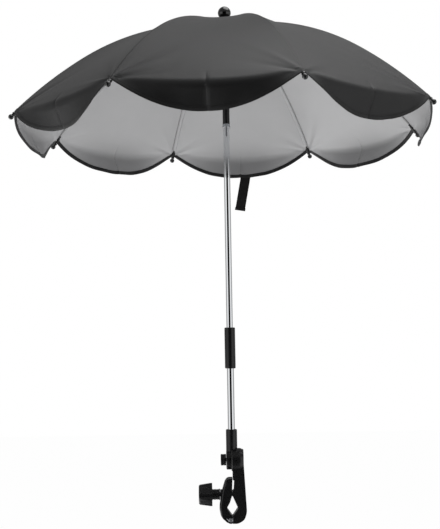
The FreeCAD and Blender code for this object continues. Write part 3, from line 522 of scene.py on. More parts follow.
def wire_piece(name, points, radius, finish_name):
    """A round wire along points."""
    curve = bpy.data.curves.new(name, "CURVE")
    curve.dimensions = "3D"
    curve.bevel_depth = radius
    curve.bevel_resolution = 3
    curve.use_fill_caps = True
    line = curve.splines.new("POLY")
    line.points.add(len(points) - 1)
    for held, place in zip(line.points, points):
        held.co = (*place, 1)
    piece = bpy.data.objects.new(name, curve)
    bpy.context.scene.collection.objects.link(piece)
    select_only(piece)
    bpy.ops.object.convert(target="MESH")
    piece.data.materials.append(finish(finish_name))
    smooth(piece, 50)
    return piece


def rounded_copy(node_name, piece_name, finish_name, body, width, segments=3, blank=None):
    """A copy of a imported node, trimmed by a blank if there is one, its sharp edges rounded by a width."""
    source = frame["nodes"][node_name]
    piece = bpy.data.objects.new(piece_name, source.data.copy())
    bpy.context.scene.collection.objects.link(piece)
    piece.data.materials.clear()
    piece.data.materials.append(finish(finish_name))
    select_only(piece)
    bpy.ops.mesh.customdata_custom_splitnormals_clear()
    bpy.ops.object.mode_set(mode="EDIT")
    bpy.ops.mesh.select_all(action="SELECT")
    bpy.ops.mesh.remove_doubles(threshold=MERGE_REACH)
    bpy.ops.mesh.dissolve_limited(angle_limit=math.radians(0.5))
    bpy.ops.object.mode_set(mode="OBJECT")
    if blank:
        combine(piece, blank, "INTERSECT")
    apply_modifier(piece, "BEVEL", width=width, segments=segments, limit_method="ANGLE",
                   angle_limit=SHARP_ANGLE, use_clamp_overlap=True, miter_outer="MITER_ARC")
    smooth(piece, 40)
    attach(piece, body)
    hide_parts(node_name)
    return piece


# Cloth


def rib_line(run):
    """Across, height and heading of the rib's line at runs along it."""
    across = np.zeros_like(run)
    height = np.zeros_like(run)
    heading = np.zeros_like(run)
    place = (math.hypot(HINGE.x, HINGE.y), HINGE.z)
    start, turned = 0.0, RIB_SLOPE
    for length, turn in RIB_ARCS:
        radius = length / turn
        now = turned + (run - start) / radius
        here = run >= start
        across = np.where(here, place[0] + radius * (np.sin(now) - math.sin(turned)), across)
        height = np.where(here, place[1] + radius * (np.cos(now) - math.cos(turned)), height)
        heading = np.where(here, now, heading)
        end = turned + turn
        place = (place[0] + radius * (math.sin(end) - math.sin(turned)),
                 place[1] + radius * (math.cos(end) - math.cos(turned)))
        start, turned = start + length, end
    return across, height, heading


def hollow(share):
    """Depth of the stretched cloth between two ribs: 0 at the rib, 1 at the panel's midline."""
    return 1 - (1 - 2 * np.abs(share)) ** 2


def swell(share):
    """Outline of the scallop, flatter near the rib: 0 at the rib, 1 at the panel's midline."""
    return np.sin(math.pi * np.abs(share)) ** HEM_POWER


def scallop_run(share):
    """Length of cloth past the end of the dome at the ribs."""
    return HEM_AT_RIB + (SCALLOP_LENGTH - HEM_AT_RIB) * swell(share)


def fold_run(share):
    """Run at which the cloth starts to fold over; it dips between the ribs."""
    return DOME_RUN + FOLD_DIP * hollow(share)


def corner_creases(panel, side):
    """Directions, reaches, depths and widths of the creases that one tip pulls into one panel."""
    draw = random.Random(10 * panel + side)
    made = []
    for number in range(CREASES_PER_CORNER):
        angle = math.radians(32 + 17 * number + draw.uniform(-5, 5))
        reach = draw.uniform(35, 75) * MM
        depth = draw.uniform(-1, 1)
        width = math.radians(draw.uniform(5, 9))
        made.append((angle, reach, depth, width))
    return made


def chord_at(run):
    """Straight distance between neighbouring ribs at runs along them."""
    return 2 * rib_line(run)[0] * math.sin(RIB_PITCH / 2)


def crease_lift(rib, run, share, across):
    """Lift of the cloth by tension creases at the tips, hem ripple and the dart at the panel's midline."""
    sizes = bpy.context.scene.parasol_sizes
    lift = np.zeros_like(run)
    chord = 2 * across * math.sin(RIB_PITCH / 2)
    aside = np.abs(share) * chord
    inward = DOME_RUN + HEM_AT_RIB - run
    far = np.hypot(aside, inward)
    angle = np.arctan2(aside, inward)
    past = np.clip((run - DOME_RUN) / scallop_run(share), 0, 1)
    from_midline = (0.5 - np.abs(share)) * chord
    dart = -DART_DEPTH * np.exp(-((from_midline / DART_WIDTH) ** 2)) * past * (1 - DART_EASE * past ** 5)
    for side, here in ((0, share > 0), (1, share < 0)):
        panel = rib if side == 0 else (rib - 2) % len(RIBS) + 1
        pulled = np.zeros_like(run)
        for way, reach, depth, width in corner_creases(panel, side):
            fade = np.exp(-far / reach) * (1 - np.exp(-far / CREASE_START))
            pulled += depth * fade * np.exp(-(((angle - way) / width) ** 2))
        pulled *= sizes.crease_depth * (1 - (2 * np.abs(share)) ** 4)
        draw = random.Random(100 + panel)
        phase, count = draw.uniform(0, math.tau), draw.choice((5, 6, 7))
        along = np.abs(share) if side == 0 else 1 - np.abs(share)
        ripple = sizes.ripple_depth * past ** 2 * swell(share) * np.sin(math.tau * count * along + phase)
        lift += np.where(here, pulled + ripple + dart, 0)
    return lift


def cloth_place(rib, run, share, lift):
    """Places on the cloth of one rib's gore: run from the crown, share of the way to the next rib."""
    run, share = np.broadcast_arrays(np.asarray(run, float), np.asarray(share, float))
    start = fold_run(share)
    across, height, heading = rib_line(np.minimum(run, start))
    lift = lift + crease_lift(rib, run, share, across)
    beyond = np.maximum(run - start, 0)
    fold = FOLD_SHARE * (DOME_RUN + scallop_run(share) - start)
    hang = RIB_HANG_SHARE + (1 - RIB_HANG_SHARE) * swell(share)
    radius = fold / (hang * (HEM_HEADING - heading))
    now = heading + np.minimum(beyond, fold) / radius
    bend = np.where(run > start, radius, 0)
    straight = np.maximum(beyond - fold, 0)
    across = across + bend * (np.sin(now) - np.sin(heading)) + straight * np.cos(now) + lift * np.sin(now)
    height = height + bend * (np.cos(now) - np.cos(heading)) - straight * np.sin(now) + lift * np.cos(now)
    height = height - PANEL_SAG * hollow(share) * np.sin(math.pi * np.minimum(run, DOME_RUN) / DOME_RUN)
    way = np.abs(share)
    out = (1 - way) + way * math.cos(RIB_PITCH)
    aside = way * math.sin(RIB_PITCH)
    azimuth = rib_azimuth(rib) + np.copysign(np.arctan2(aside, out), share)
    scale = np.hypot(out, aside)
    return np.stack([scale * across * np.cos(azimuth), scale * across * np.sin(azimuth), height], -1)


def rib_azimuth(rib):
    place = joint_named[f"rib_{rib}_fold"]["pos_m"]
    return math.atan2(place[1], place[0])


def rib_tangent(rib):
    """Level way across one rib."""
    azimuth = rib_azimuth(rib)
    return (-math.sin(azimuth), math.cos(azimuth), 0)


def gore_shares():
    """Sections of a gore, closer together at the rib and at the panel's midline."""
    steps, crowding = 25, 1.3
    beside_rib, beside_midline = 0.004, {0.49, 0.496}
    half = list(0.5 * np.linspace(0, 1, steps)[1:] ** crowding)
    half = sorted({*half, beside_rib, *beside_midline})
    return np.array([-s for s in reversed(half)] + [0.0] + half)


def make_gore(rib, sizes):
    """One gore: the cloth from midline to midline over one rib."""
    shares = gore_shares()
    fine_from = 0.62
    coarse_rows, fine_rows, scallop_rows = 22, 48, 33
    coarse = np.linspace(0, fine_from, coarse_rows)[:-1]
    dome = np.concatenate([coarse, np.linspace(fine_from, 1, fine_rows)]) * DOME_RUN
    drops = np.linspace(0, 1, scallop_rows)[1:]
    runs = [np.full(len(shares), run) for run in dome]
    runs += [DOME_RUN + drop * scallop_run(shares) for drop in drops]
    runs = np.array(runs)
    wide = np.broadcast_to(shares, runs.shape)
    places = cloth_place(rib, runs, wide, CLOTH_LIFT + sizes.cloth_thickness)
    spread = np.stack([wide * chord_at(np.minimum(runs, DOME_RUN)), runs], -1).reshape(-1, 2)
    piece = new_piece(f"canopy_panel_{rib}", places.reshape(-1, 3), strip_faces(*runs.shape),
                      ("black_polyester", "silver_coating", "binding_tape"), spread)
    outward(piece)
    apply_modifier(piece, "SOLIDIFY", thickness=sizes.cloth_thickness, offset=-1.0, material_offset=1,
                   material_offset_rim=2)
    smooth(piece, 60)
    return piece


def make_binding(rib, sizes):
    """Tape folded round the scalloped hem of one gore."""
    shares = gore_shares()
    hem = DOME_RUN + scallop_run(shares)
    middle = CLOTH_LIFT + sizes.cloth_thickness / 2
    edge = cloth_place(rib, hem, shares, middle)
    step = 0.5 * MM
    down = unit_rows(edge - cloth_place(rib, hem - step, shares, middle))
    along = unit_rows(np.gradient(edge, axis=0))
    up = unit_rows(np.cross(down, along))
    fold = sizes.cloth_thickness / 2 + TAPE_THICKNESS
    # Share of the tape's width past the hem and share of the fold's height, round one section
    outline = ((-1.0, 0.8), (-0.5, 1.0), (-0.1, 1.0), (0.08, 0.5),
               (0.08, -0.5), (-0.1, -1.0), (-0.5, -1.0), (-1.0, -0.8))
    points, spread = [], []
    travel = travel_along(edge)
    for index in range(len(shares)):
        for down_share, up_share in outline:
            past = down_share * sizes.binding_width
            points.append(edge[index] + down[index] * past + up[index] * up_share * fold)
            spread.append((travel[index], past))
    piece = new_piece(f"hem_binding_{rib}", points, tube_faces(len(shares), len(outline)),
                      ("binding_tape",), spread)
    outward(piece)
    smooth(piece, 50)
    return piece


def make_pocket(rib):
    """Folded tape pocket that holds the cloth's corner on the rib's end."""
    # Place along the rib past the hem, half width, half height and lift, in millimetres
    stations = ((-9, 1.9, 1.9, 0.3), (-8, 3.6, 2.1, 0.4), (-3, 3.8, 2.4, 0.5), (0.4, 3.4, 2.8, 0.3),
                (1.6, 3.0, 2.7, 0.1), (1.8, 2.0, 2.0, 0.1))
    flat_sides, flat_top = 0.6, 0.8
    azimuth = rib_azimuth(rib)
    out = Vector((math.cos(azimuth), math.sin(azimuth), 0))
    side = Vector(rib_tangent(rib))
    up = Vector((0, 0, 1))
    round_count = 14
    points, spread = [], []
    for offset, half_width, half_height, lift in stations:
        run = DOME_RUN + HEM_AT_RIB + offset * MM
        across, height, heading = (float(v) for v in rib_line(np.array(run)))
        normal = out * math.sin(heading) + up * math.cos(heading)
        centre = out * across + up * height + normal * lift * MM
        for number in range(round_count):
            turn = math.tau * number / round_count
            wide = math.copysign(abs(math.cos(turn)) ** flat_sides, math.cos(turn)) * half_width * MM
            high = math.copysign(abs(math.sin(turn)) ** flat_top, math.sin(turn)) * half_height * MM
            points.append(centre + side * wide + normal * high)
            spread.append((offset * MM, turn * half_width * MM))
    piece = new_piece(f"tip_pocket_{rib}", points, tube_faces(len(stations), round_count),
                      ("binding_tape",), spread)
    outward(piece)
    apply_modifier(piece, "SUBSURF", levels=1, render_levels=1)
    smooth(piece, 60)
    return piece


def make_casing(rib, sizes):
    """Coated casing sewn under the cloth over the outer half of one rib."""
    turns = np.linspace(0, math.pi, 13)
    below_cloth, flatness = 0.4 * MM, 1.6
    aside = np.cos(turns) * sizes.casing_width / 2
    lift = CLOTH_LIFT - below_cloth - CASING_DEPTH * np.sin(turns) ** flatness
    runs = np.linspace(CASING_START, CASING_END, 36)
    points, spread = [], []
    for run in runs:
        shares = aside / chord_at(np.array([run]))[0]
        points += list(cloth_place(rib, np.full(len(aside), run), shares, lift))
        spread += [(wide, run) for wide in aside]
    piece = new_piece(f"rib_casing_{rib}", points, strip_faces(len(runs), len(turns)),
                      ("silver_coating",), spread)
    apply_modifier(piece, "SOLIDIFY", thickness=0.3 * MM, offset=0.0)
    outward(piece)
    smooth(piece, 60)
    return piece


def stitch_row(rib, runs, shares, lift):
    """Places, ways along and normals of a row of stitches, evenly spaced along a line on the cloth."""
    sizes = bpy.context.scene.parasol_sizes
    travel = travel_along(cloth_place(rib, runs, shares, lift))
    marks = np.arange(sizes.stitch_step, travel[-1], sizes.stitch_step)
    at_runs, at_shares = np.interp(marks, travel, runs), np.interp(marks, travel, shares)
    next_runs, next_shares = np.interp(marks + MM, travel, runs), np.interp(marks + MM, travel, shares)
    places = cloth_place(rib, at_runs, at_shares, lift)
    ends = cloth_place(rib, next_runs, next_shares, lift)
    above = cloth_place(rib, at_runs, at_shares, lift + MM)
    return places, ends - places, above - places


def make_stitches(name, rows, thick):
    """Small bars of thread along rows of places, drawn in at both ends."""
    sizes = bpy.context.scene.parasol_sizes
    half = sizes.stitch_length / 2
    shortest_way = 0.1 * MM
    # Share of the half length and share of the thickness
    stations = ((-1.0, 0.3), (-0.6, 1.0), (0.6, 1.0), (1.0, 0.3))
    corners = ((1, 0), (0, 1), (-1, 0), (0, -1))
    bar = tube_faces(len(stations), len(corners))
    points, faces = [], []
    for places, ways, normals in rows:
        for place, way, normal in zip(places, ways, normals):
            length = np.linalg.norm(way)
            if length < shortest_way:
                continue
            way = way / length
            wide = np.cross(normal, way)
            wide = wide / np.linalg.norm(wide)
            high = np.cross(way, wide)
            start = len(points)
            for along, girth in stations:
                for a, b in corners:
                    points.append(place + way * along * half + (wide * a + high * b) * girth * thick)
            faces += [tuple(start + corner for corner in face) for face in bar]
    piece = new_piece(name, points, faces, ("sewing_thread",))
    outward(piece)
    smooth(piece, 60)
    return piece


def make_gore_stitches(rib, sizes):
    """Two rows beside the seam over the rib, and one row through the hem binding."""
    seam_start, beside_seam = 60 * MM, 1.3 * MM
    outside = CLOTH_LIFT + sizes.cloth_thickness + 0.05 * MM
    runs = np.linspace(seam_start, DOME_RUN, 120)
    share_of = 1 / chord_at(runs)
    rows = [stitch_row(rib, runs, side * beside_seam * share_of, outside) for side in (-1, 1)]
    shares = np.linspace(-0.49, 0.49, 161)
    hem = DOME_RUN + scallop_run(shares) - 0.8 * sizes.binding_width
    rows.append(stitch_row(rib, hem, shares, outside + TAPE_THICKNESS))
    return make_stitches(f"gore_stitching_{rib}", rows, 0.15 * MM)


def make_casing_stitches_as_shade_lines(rib, sizes):
    """A row of thick black thread along each edge of the casing, seen from below: real stitching, drawn
    thick and dark to paint the shade lines at the casing's edges.
    """
    from_end, from_edge, below_cloth = 2 * MM, 0.3 * MM, 0.9 * MM
    runs = np.linspace(CASING_START + from_end, CASING_END - from_end, 90)
    share_of = 1 / chord_at(runs)
    aside = sizes.casing_width / 2 - from_edge
    rows = [stitch_row(rib, runs, side * aside * share_of, CLOTH_LIFT - below_cloth) for side in (-1, 1)]
    # The thread is drawn thick so that its black paints the shade lines along the casing's edges
    return make_stitches(f"casing_stitching_shade_line_{rib}", rows, 0.5 * MM)


class PARASOL_OT_canopy(bpy.types.Operator):
    """Make the eight gores with their hem binding, rib casings, stitching and tip pockets"""
    bl_idname = "parasol.canopy"
    bl_label = "Canopy"

    def execute(self, context):
        sizes = context.scene.parasol_sizes
        for rib in RIBS:
            body = f"rib_{rib}"
            gore = make_gore(rib, sizes)
            binding = make_binding(rib, sizes)
            stitching = make_gore_stitches(rib, sizes)
            pocket = make_pocket(rib)
            casing = make_casing(rib, sizes)
            # The casing's edge stitching also paints the shade lines along each casing
            casing_shade_lines = make_casing_stitches_as_shade_lines(rib, sizes)
            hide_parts(f"canopy_gore_{rib}")
            sewn = (binding, stitching, pocket, casing, casing_shade_lines)
            for piece in (gore, *sewn):
                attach(piece, body)
            for piece in (gore, binding, stitching, casing, casing_shade_lines):
                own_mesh(piece)
        return {"FINISHED"}


def strap_placer(sizes):
    """Function from a share down the strap and a share across it to a place.

    The strap leans to the next rib, and its end curls inwards with a slight wave and twist.
    """
    curl, wave, twist = 5 * MM, 0.8 * MM, 0.7 * MM
    azimuth = rib_azimuth(STRAP_RIB) + RIB_PITCH / 2
    out = np.array([math.cos(azimuth), math.sin(azimuth), 0])
    side = np.array([-math.sin(azimuth), math.cos(azimuth), 0])
    up = np.array([0, 0, 1])
    down_way = side * math.sin(sizes.strap_lean) - up * math.cos(sizes.strap_lean)
    wide_way = side * math.cos(sizes.strap_lean) + up * math.sin(sizes.strap_lean)
    half = sizes.strap_width / 2
    solid = node_points("strap")
    face = ((solid @ out).min() + (solid @ out).max()) / 2
    head = solid[:, 2].max() - half * math.sin(sizes.strap_lean)
    start = (solid @ side).min() + half * math.cos(sizes.strap_lean)

    def place(down, wide):
        depth = face - curl * down ** 2 + wave * math.sin(7 * down) + twist * wide * down
        return (out * depth + side * start + up * head
                + down_way * down * sizes.strap_length + wide_way * wide * half)

    return place


def strap_strip(name, place, sizes, downs, wides, thickness):
    """A strip of web between two shares down and two shares across the strap."""
    rows, columns = 28, 9
    points, spread = [], []
    for down in np.linspace(*downs, rows):
        for wide in np.linspace(*wides, columns):
            points.append(place(down, wide))
            spread.append((wide * sizes.strap_width / 2, down * sizes.strap_length))
    piece = new_piece(name, points, strip_faces(rows, columns), ("hook_and_loop",), spread)
    apply_modifier(piece, "SOLIDIFY", thickness=thickness, offset=0.0)
    apply_modifier(piece, "BEVEL", width=0.35 * MM, segments=2, limit_method="ANGLE")
    outward(piece)
    smooth(piece, 40)
    return piece


class PARASOL_OT_strap(bpy.types.Operator):
    """Make the hook and loop strap that ties the folded canopy"""
    bl_idname = "parasol.strap"
    bl_label = "Strap"

    def execute(self, context):
        sizes = context.scene.parasol_sizes
        place = strap_placer(sizes)
        web = strap_strip("tie_strap", place, sizes, (0, 1), (-1, 1), thickness=1.1 * MM)
        hem_share = sizes.strap_hem / sizes.strap_length
        hem = strap_strip("strap_end_hem", place, sizes, (1 - hem_share, 1.01), (-1.06, 1.06),
                          thickness=2.4 * MM)
        rib = STRAP_RIB
        for piece in (web, hem):
            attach(piece, f"rib_{rib}")
            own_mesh(piece)
        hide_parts("strap")
        return {"FINISHED"}


def make_cap():
    """Ball-shaped cap on the pole's end, drawn in to its foot."""
    solid = node_points("ferrule_cap")
    foot, top = solid[:, 2].min(), solid[:, 2].max()
    radius = np.abs(solid[:, 0]).max()
    at_foot = solid[:, 2] < foot + 0.1 * MM
    foot_radius = np.hypot(solid[:, 0], solid[:, 1])[at_foot].max()
    centre = top - radius
    low = math.acos(foot_radius / radius)
    outline = [(0, foot), (foot_radius, foot)]
    for turn in np.linspace(-low, math.pi / 2, 25):
        outline.append((radius * math.cos(turn), centre + radius * math.sin(turn)))
    return turned_piece("cap_ball", outline, (0, 0, 0), (0, 0, 1), "gloss_abs")


class PARASOL_OT_frame(bpy.types.Operator):
    """Finish the ribs, tips, stretchers, runner and notch, and make the cap"""
    bl_idname = "parasol.frame"
    bl_label = "Canopy frame"

    def execute(self, context):
        for rib in RIBS:
            dress(f"rib_{rib}", "black_lacquer")
            dress(f"rib_tip_{rib}", "gloss_abs")
            dress(f"stretcher_{rib}", "black_lacquer")
        rounded_copy("runner", "runner_body", "moulded_nylon", "runner",
                     width=0.3 * MM, segments=2)
        rounded_copy("top_notch", "notch_body", "moulded_nylon", "upper",
                     width=0.3 * MM, segments=2)
        for name in ("notch_wire", "runner_ring", "catch_spring"):
            dress(name, "bright_steel")
        dress("canopy_washer", "gloss_abs")
        cap = make_cap()
        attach(cap, "upper")
        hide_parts("ferrule_cap")
        return {"FINISHED"}


class PARASOL_OT_poles(bpy.types.Operator):
    """Finish the two poles, the tilt joint and its sleeve"""
    bl_idname = "parasol.poles"
    bl_label = "Poles"

    def execute(self, context):
        for name in ("upper_pole", "lower_pole"):
            dress(name, "chrome_plate")
        for name in ("tilt_tongue", "tilt_fork", "tilt_pin"):
            dress(name, "bright_steel")
        rounded_copy("lock_sleeve", "sleeve_body", "moulded_nylon", "sleeve",
                     width=1.4 * MM)
        return {"FINISHED"}


def outer_rim(mesh, front, limit):
    """The jaw's outer outline on its front face as x and z, from its foot to its top.

    It goes as far as x stays below a limit.
    """
    shape = bmesh.new()
    shape.from_mesh(mesh)
    bmesh.ops.remove_doubles(shape, verts=shape.verts, dist=MERGE_REACH)
    beside = {}
    for edge in shape.edges:
        on_front = all(abs(corner.co.y - front) < 0.01 * MM for corner in edge.verts)
        if on_front and edge.is_manifold and edge.calc_face_angle() > SHARP_ANGLE:
            for corner in edge.verts:
                beside.setdefault(corner, []).append(edge.other_vert(corner))
    start = min(beside, key=lambda corner: corner.co.x)
    sides = []
    for way in (0, 1):
        last, here, side = start, beside[start][way], []
        while here.co.x < limit and here is not start:
            side.append((here.co.x, here.co.z))
            last, here = here, next(corner for corner in beside[here] if corner is not last)
        sides.append(side)
    middle = (start.co.x, start.co.z)
    shape.free()
    low, high = sorted(sides, key=lambda side: side[-1][1])
    return np.array([*reversed(low), middle, *high])


def jaw_blank(front, rounding):
    """Block that holds the jaw, with its long left side rounded, and the boss for the screw."""
    inner_limit, ease_length = -9.5 * MM, 8 * MM
    block_top, block_side, block_foot = 90 * MM, 40 * MM, -60 * MM
    boss_wall, boss_length, boss_middle = 4.7 * MM, 30 * MM, -22 * MM
    rim = outer_rim(frame["nodes"]["moving_jaw"].data, front, inner_limit)
    travel = travel_along(rim)
    marks = np.linspace(0, travel[-1], 60)
    rim = np.column_stack([np.interp(marks, travel, rim[:, axis]) for axis in (0, 1)])
    along = unit_rows(np.gradient(rim, axis=0))
    inward = np.column_stack([along[:, 1], -along[:, 0]])
    ease = np.clip(np.minimum(marks, marks[-1] - marks) / ease_length, 0, 1)[:, None]
    turns = np.linspace(math.pi / 2, 0, 9)
    levels = [(front + rounding * (1 - math.sin(turn)), rounding * (1 - math.cos(turn))) for turn in turns]
    levels += [(-y, inset) for y, inset in reversed(levels)]
    far = ((rim[-1][0], block_top), (block_side, block_top),
           (block_side, block_foot), (rim[0][0], block_foot))
    points = []
    for y, inset in levels:
        line = [*(rim + inward * ease * inset), *far]
        points += [(x, y, z) for x, z in line]
    blank = new_piece("jaw_blank", points, tube_faces(len(levels), len(rim) + len(far)), ("moulded_nylon",))
    outward(blank)
    screw = node_points("clamp_screw")
    height = (screw[:, 2].min() + screw[:, 2].max()) / 2
    bpy.ops.mesh.primitive_cylinder_add(vertices=64, radius=abs(front) - boss_wall, depth=boss_length,
                                        rotation=(0, math.pi / 2, 0), location=(boss_middle, 0, height))
    combine(blank, bpy.context.object, "UNION")
    return blank


def make_bolt():
    """Pivot bolt with a hexagon socket in its head."""
    socket_radius, socket_depth = 2.9 * MM, 2.5 * MM
    piece = rounded_copy("pivot_bolt", "socket_bolt", "bright_steel", "clamp",
                         width=0.3 * MM, segments=2)
    solid = np.array([corner.co for corner in piece.data.vertices])
    height = (solid[:, 2].min() + solid[:, 2].max()) / 2
    face = solid[:, 0].max()
    bpy.ops.mesh.primitive_cylinder_add(vertices=6, radius=socket_radius, depth=2 * socket_depth,
                                        rotation=(0, math.pi / 2, 0), location=(face, 0, height))
    combine(piece, bpy.context.object, "DIFFERENCE")
    smooth(piece, 40)


def make_thread(sizes):
    """Clamp screw with its helical thread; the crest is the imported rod's surface."""
    solid = node_points("clamp_screw")
    start, end = solid[:, 0].min(), solid[:, 0].max()
    height = (solid[:, 2].min() + solid[:, 2].max()) / 2
    crest = (solid[:, 2].max() - solid[:, 2].min()) / 2
    depth = 0.2 * sizes.screw_lead
    sides, rows_per_turn = 36, 12
    rows = int((end - start) / sizes.screw_lead * rows_per_turn)
    points = []
    for x in np.linspace(start, end, rows):
        for number in range(sides):
            turn = math.tau * number / sides
            phase = (x / sizes.screw_lead - number / sides) % 1
            # One third of each turn is crest, one third root, and the flanks lie between
            cut = min(1, max(0, 3 * abs(2 * phase - 1) - 1))
            radius = crest - depth * cut
            points.append((x, radius * math.cos(turn), height + radius * math.sin(turn)))
    piece = new_piece("threaded_rod", points, tube_faces(rows, sides), ("bright_steel",))
    outward(piece)
    smooth(piece, 35)
    return piece


def make_spring(front):
    """Torsion spring round the jaw's pin: coil and one leg on the arm, the other leg on the jaw."""
    pin = Vector(joint_named["jaw_swing"]["pos_m"])
    wire, coil, pitch = 0.55 * MM, 3.3 * MM, 1.4 * MM
    fixed_leg, moving_leg, hook_bend, hook_sink = 3.6 * MM, 6.8 * MM, 0.6 * MM, 0.4 * MM
    shank, head_radius = 1.9 * MM, 2.6 * MM
    leave = math.radians(-141.5)
    last = leave - math.tau
    steps = 48

    def at(turn, y):
        return Vector((pin.x + coil * math.cos(turn), y, pin.z + coil * math.sin(turn)))

    first_y = front - 1.2 * wire
    turns = [last * number / steps for number in range(steps + 1)]
    coiled = [at(turn, first_y - pitch * abs(turn) / math.tau) for turn in turns]
    top = coiled[0] + Vector((0, 0, fixed_leg))
    bent_in = top + Vector((0, 1.1 * MM, 0.4 * MM))
    fixed = wire_piece("hinge_spring", [bent_in, top, *coiled], wire, "bright_steel")
    away = Vector((math.sin(leave), 0, -math.cos(leave)))
    foot = coiled[-1] + away * moving_leg
    hook = foot + away * hook_bend + Vector((0, front - foot.y + hook_sink, 0))
    moving = wire_piece("hinge_spring_leg", [coiled[-1], foot, hook], wire, "bright_steel")
    reach = abs(coiled[-1].y - front) + wire
    outline = [(0, 0), (shank, 0), (shank, reach), (head_radius, reach), (head_radius, reach + 0.5 * MM),
               (1.8 * MM, reach + 1 * MM), (0, reach + 1.1 * MM)]
    head = turned_piece("pin_head", outline, (pin.x, front, pin.z), (0, -1, 0), "bright_steel")
    for piece, body in ((fixed, "clamp"), (moving, "jaw"), (head, "clamp")):
        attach(piece, body)


class PARASOL_OT_clamp(bpy.types.Operator):
    """Make the rounded clamp, socket, knobs, screw and hinge spring"""
    bl_idname = "parasol.clamp"
    bl_label = "Clamp"

    def execute(self, context):
        sizes = context.scene.parasol_sizes
        rounded_copy("pole_socket", "socket_body", "moulded_nylon", "lower",
                     width=1.4 * MM)
        rounded_copy("swivel_knob", "swivel_button", "moulded_nylon", "swivel_knob",
                     width=0.25 * MM)
        rounded_copy("clamp_arm", "arm_body", "moulded_nylon", "clamp", width=1.0 * MM)
        front = node_points("moving_jaw")[:, 1].min()
        blank = jaw_blank(front, sizes.jaw_round)
        rounded_copy("moving_jaw", "jaw_body", "moulded_nylon", "jaw",
                     width=1.0 * MM, blank=blank)
        rounded_copy("screw_knob", "knob_body", "moulded_nylon", "screw", width=0.4 * MM)
        dress("pressure_washer", "moulded_nylon")
        for name in ("screw_nut", "jaw_pin"):
            dress(name, "bright_steel")
        dress("friction_washer", "friction_rubber")
        make_bolt()
        thread = make_thread(sizes)
        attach(thread, "screw")
        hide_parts("clamp_screw")
        make_spring(front)
        return {"FINISHED"}


def world_light(stage):
    """White to the eye, an even sky to all else."""
    world = bpy.context.scene.world or bpy.data.worlds.new("studio")
    bpy.context.scene.world = world
    world.use_nodes = True
    tree = world.node_tree
    tree.nodes.clear()
    ray = add(tree, "LightPath")
    seen = add(tree, "Math", {0: ray.outputs["Is Camera Ray"], 1: ray.outputs["Is Transmission Ray"]},
               operation="MAXIMUM")
    even = add(tree, "Background", {"Color": (1, 1, 1, 1), "Strength": stage.sky})
    white = add(tree, "Background", {"Color": (1, 1, 1, 1), "Strength": 1.0})
    mixed = add(tree, "MixShader", {0: seen.outputs[0], 1: even.outputs[0], 2: white.outputs[0]})
    add(tree, "OutputWorld", {"Surface": mixed.outputs[0]})


def floor_finish():
    """Pale floor that is almost white to the eye, keeps a faint shadow and is clear from below."""
    made, tree = new_finish("studio_floor")
    white_share = 0.985
    ray = add(tree, "LightPath")
    seen = add(tree, "Math", {0: ray.outputs["Is Camera Ray"], 1: white_share}, operation="MULTIPLY")
    matt = add(tree, "BsdfDiffuse", {"Color": (0.9, 0.9, 0.9, 1)})
    white = add(tree, "Emission", {"Color": (1, 1, 1, 1), "Strength": 1.0})
    above = add(tree, "MixShader", {0: seen.outputs[0], 1: matt.outputs[0], 2: white.outputs[0]})
    side = add(tree, "NewGeometry")
    clear = add(tree, "BsdfTransparent")
    mixed = add(tree, "MixShader", {
        0: side.outputs["Backfacing"], 1: above.outputs[0], 2: clear.outputs[0]})
    add(tree, "OutputMaterial", {"Surface": mixed.outputs[0]})
    return made


def card_finish():
    """Card round the stage: black in front, white beside, grey behind, and bright low on the left."""
    made, tree = new_finish("card_ring")
    place = add(tree, "TexCoord")
    split = add(tree, "SeparateXYZ", {"Vector": place.outputs["Object"]})
    aside = add(tree, "Math", {0: split.outputs["X"]}, operation="ABSOLUTE")
    back = add(tree, "Math", {0: split.outputs["Y"], 1: -1.0}, operation="MULTIPLY")
    angle = add(tree, "Math", {0: aside.outputs[0], 1: back.outputs[0]}, operation="ARCTAN2")
    turned = add(tree, "MapRange", {"Value": angle.outputs[0], "From Max": math.pi})
    tone = add(tree, "ValToRGB", {"Fac": turned.outputs["Result"]})
    ramp = tone.color_ramp
    ramp.interpolation = "EASE"
    for degrees, grey in CARD_TONES:
        stop = ramp.elements.new(degrees / 180)
        stop.color = (grey, grey, grey, 1)
    ramp.elements.remove(ramp.elements[-1])
    ramp.elements.remove(ramp.elements[0])
    strength = bpy.context.scene.parasol_stage.low_card
    for axis, dark, bright in LOW_CARD_GATES:
        gate = add(tree, "MapRange", {"Value": split.outputs[axis], "From Min": dark, "From Max": bright})
        product = add(tree, "Math", {0: gate.outputs["Result"], 1: strength}, operation="MULTIPLY")
        strength = product.outputs[0]
    total = add(tree, "Math", {0: strength, 1: 1.0}, operation="ADD")
    glow = add(tree, "Emission", {"Color": tone.outputs["Color"], "Strength": total.outputs[0]})
    add(tree, "OutputMaterial", {"Surface": glow.outputs[0]})
    return made


def soft_light(name, place, target, size, power):
    bpy.ops.object.light_add(type="AREA", location=place)
    lamp = bpy.context.object
    lamp.name = name
    lamp.data.shape = "DISK"
    lamp.data.size = size
    lamp.data.energy = power
    lamp.rotation_euler = (Vector(target) - Vector(place)).to_track_quat("-Z", "Y").to_euler()
    return lamp


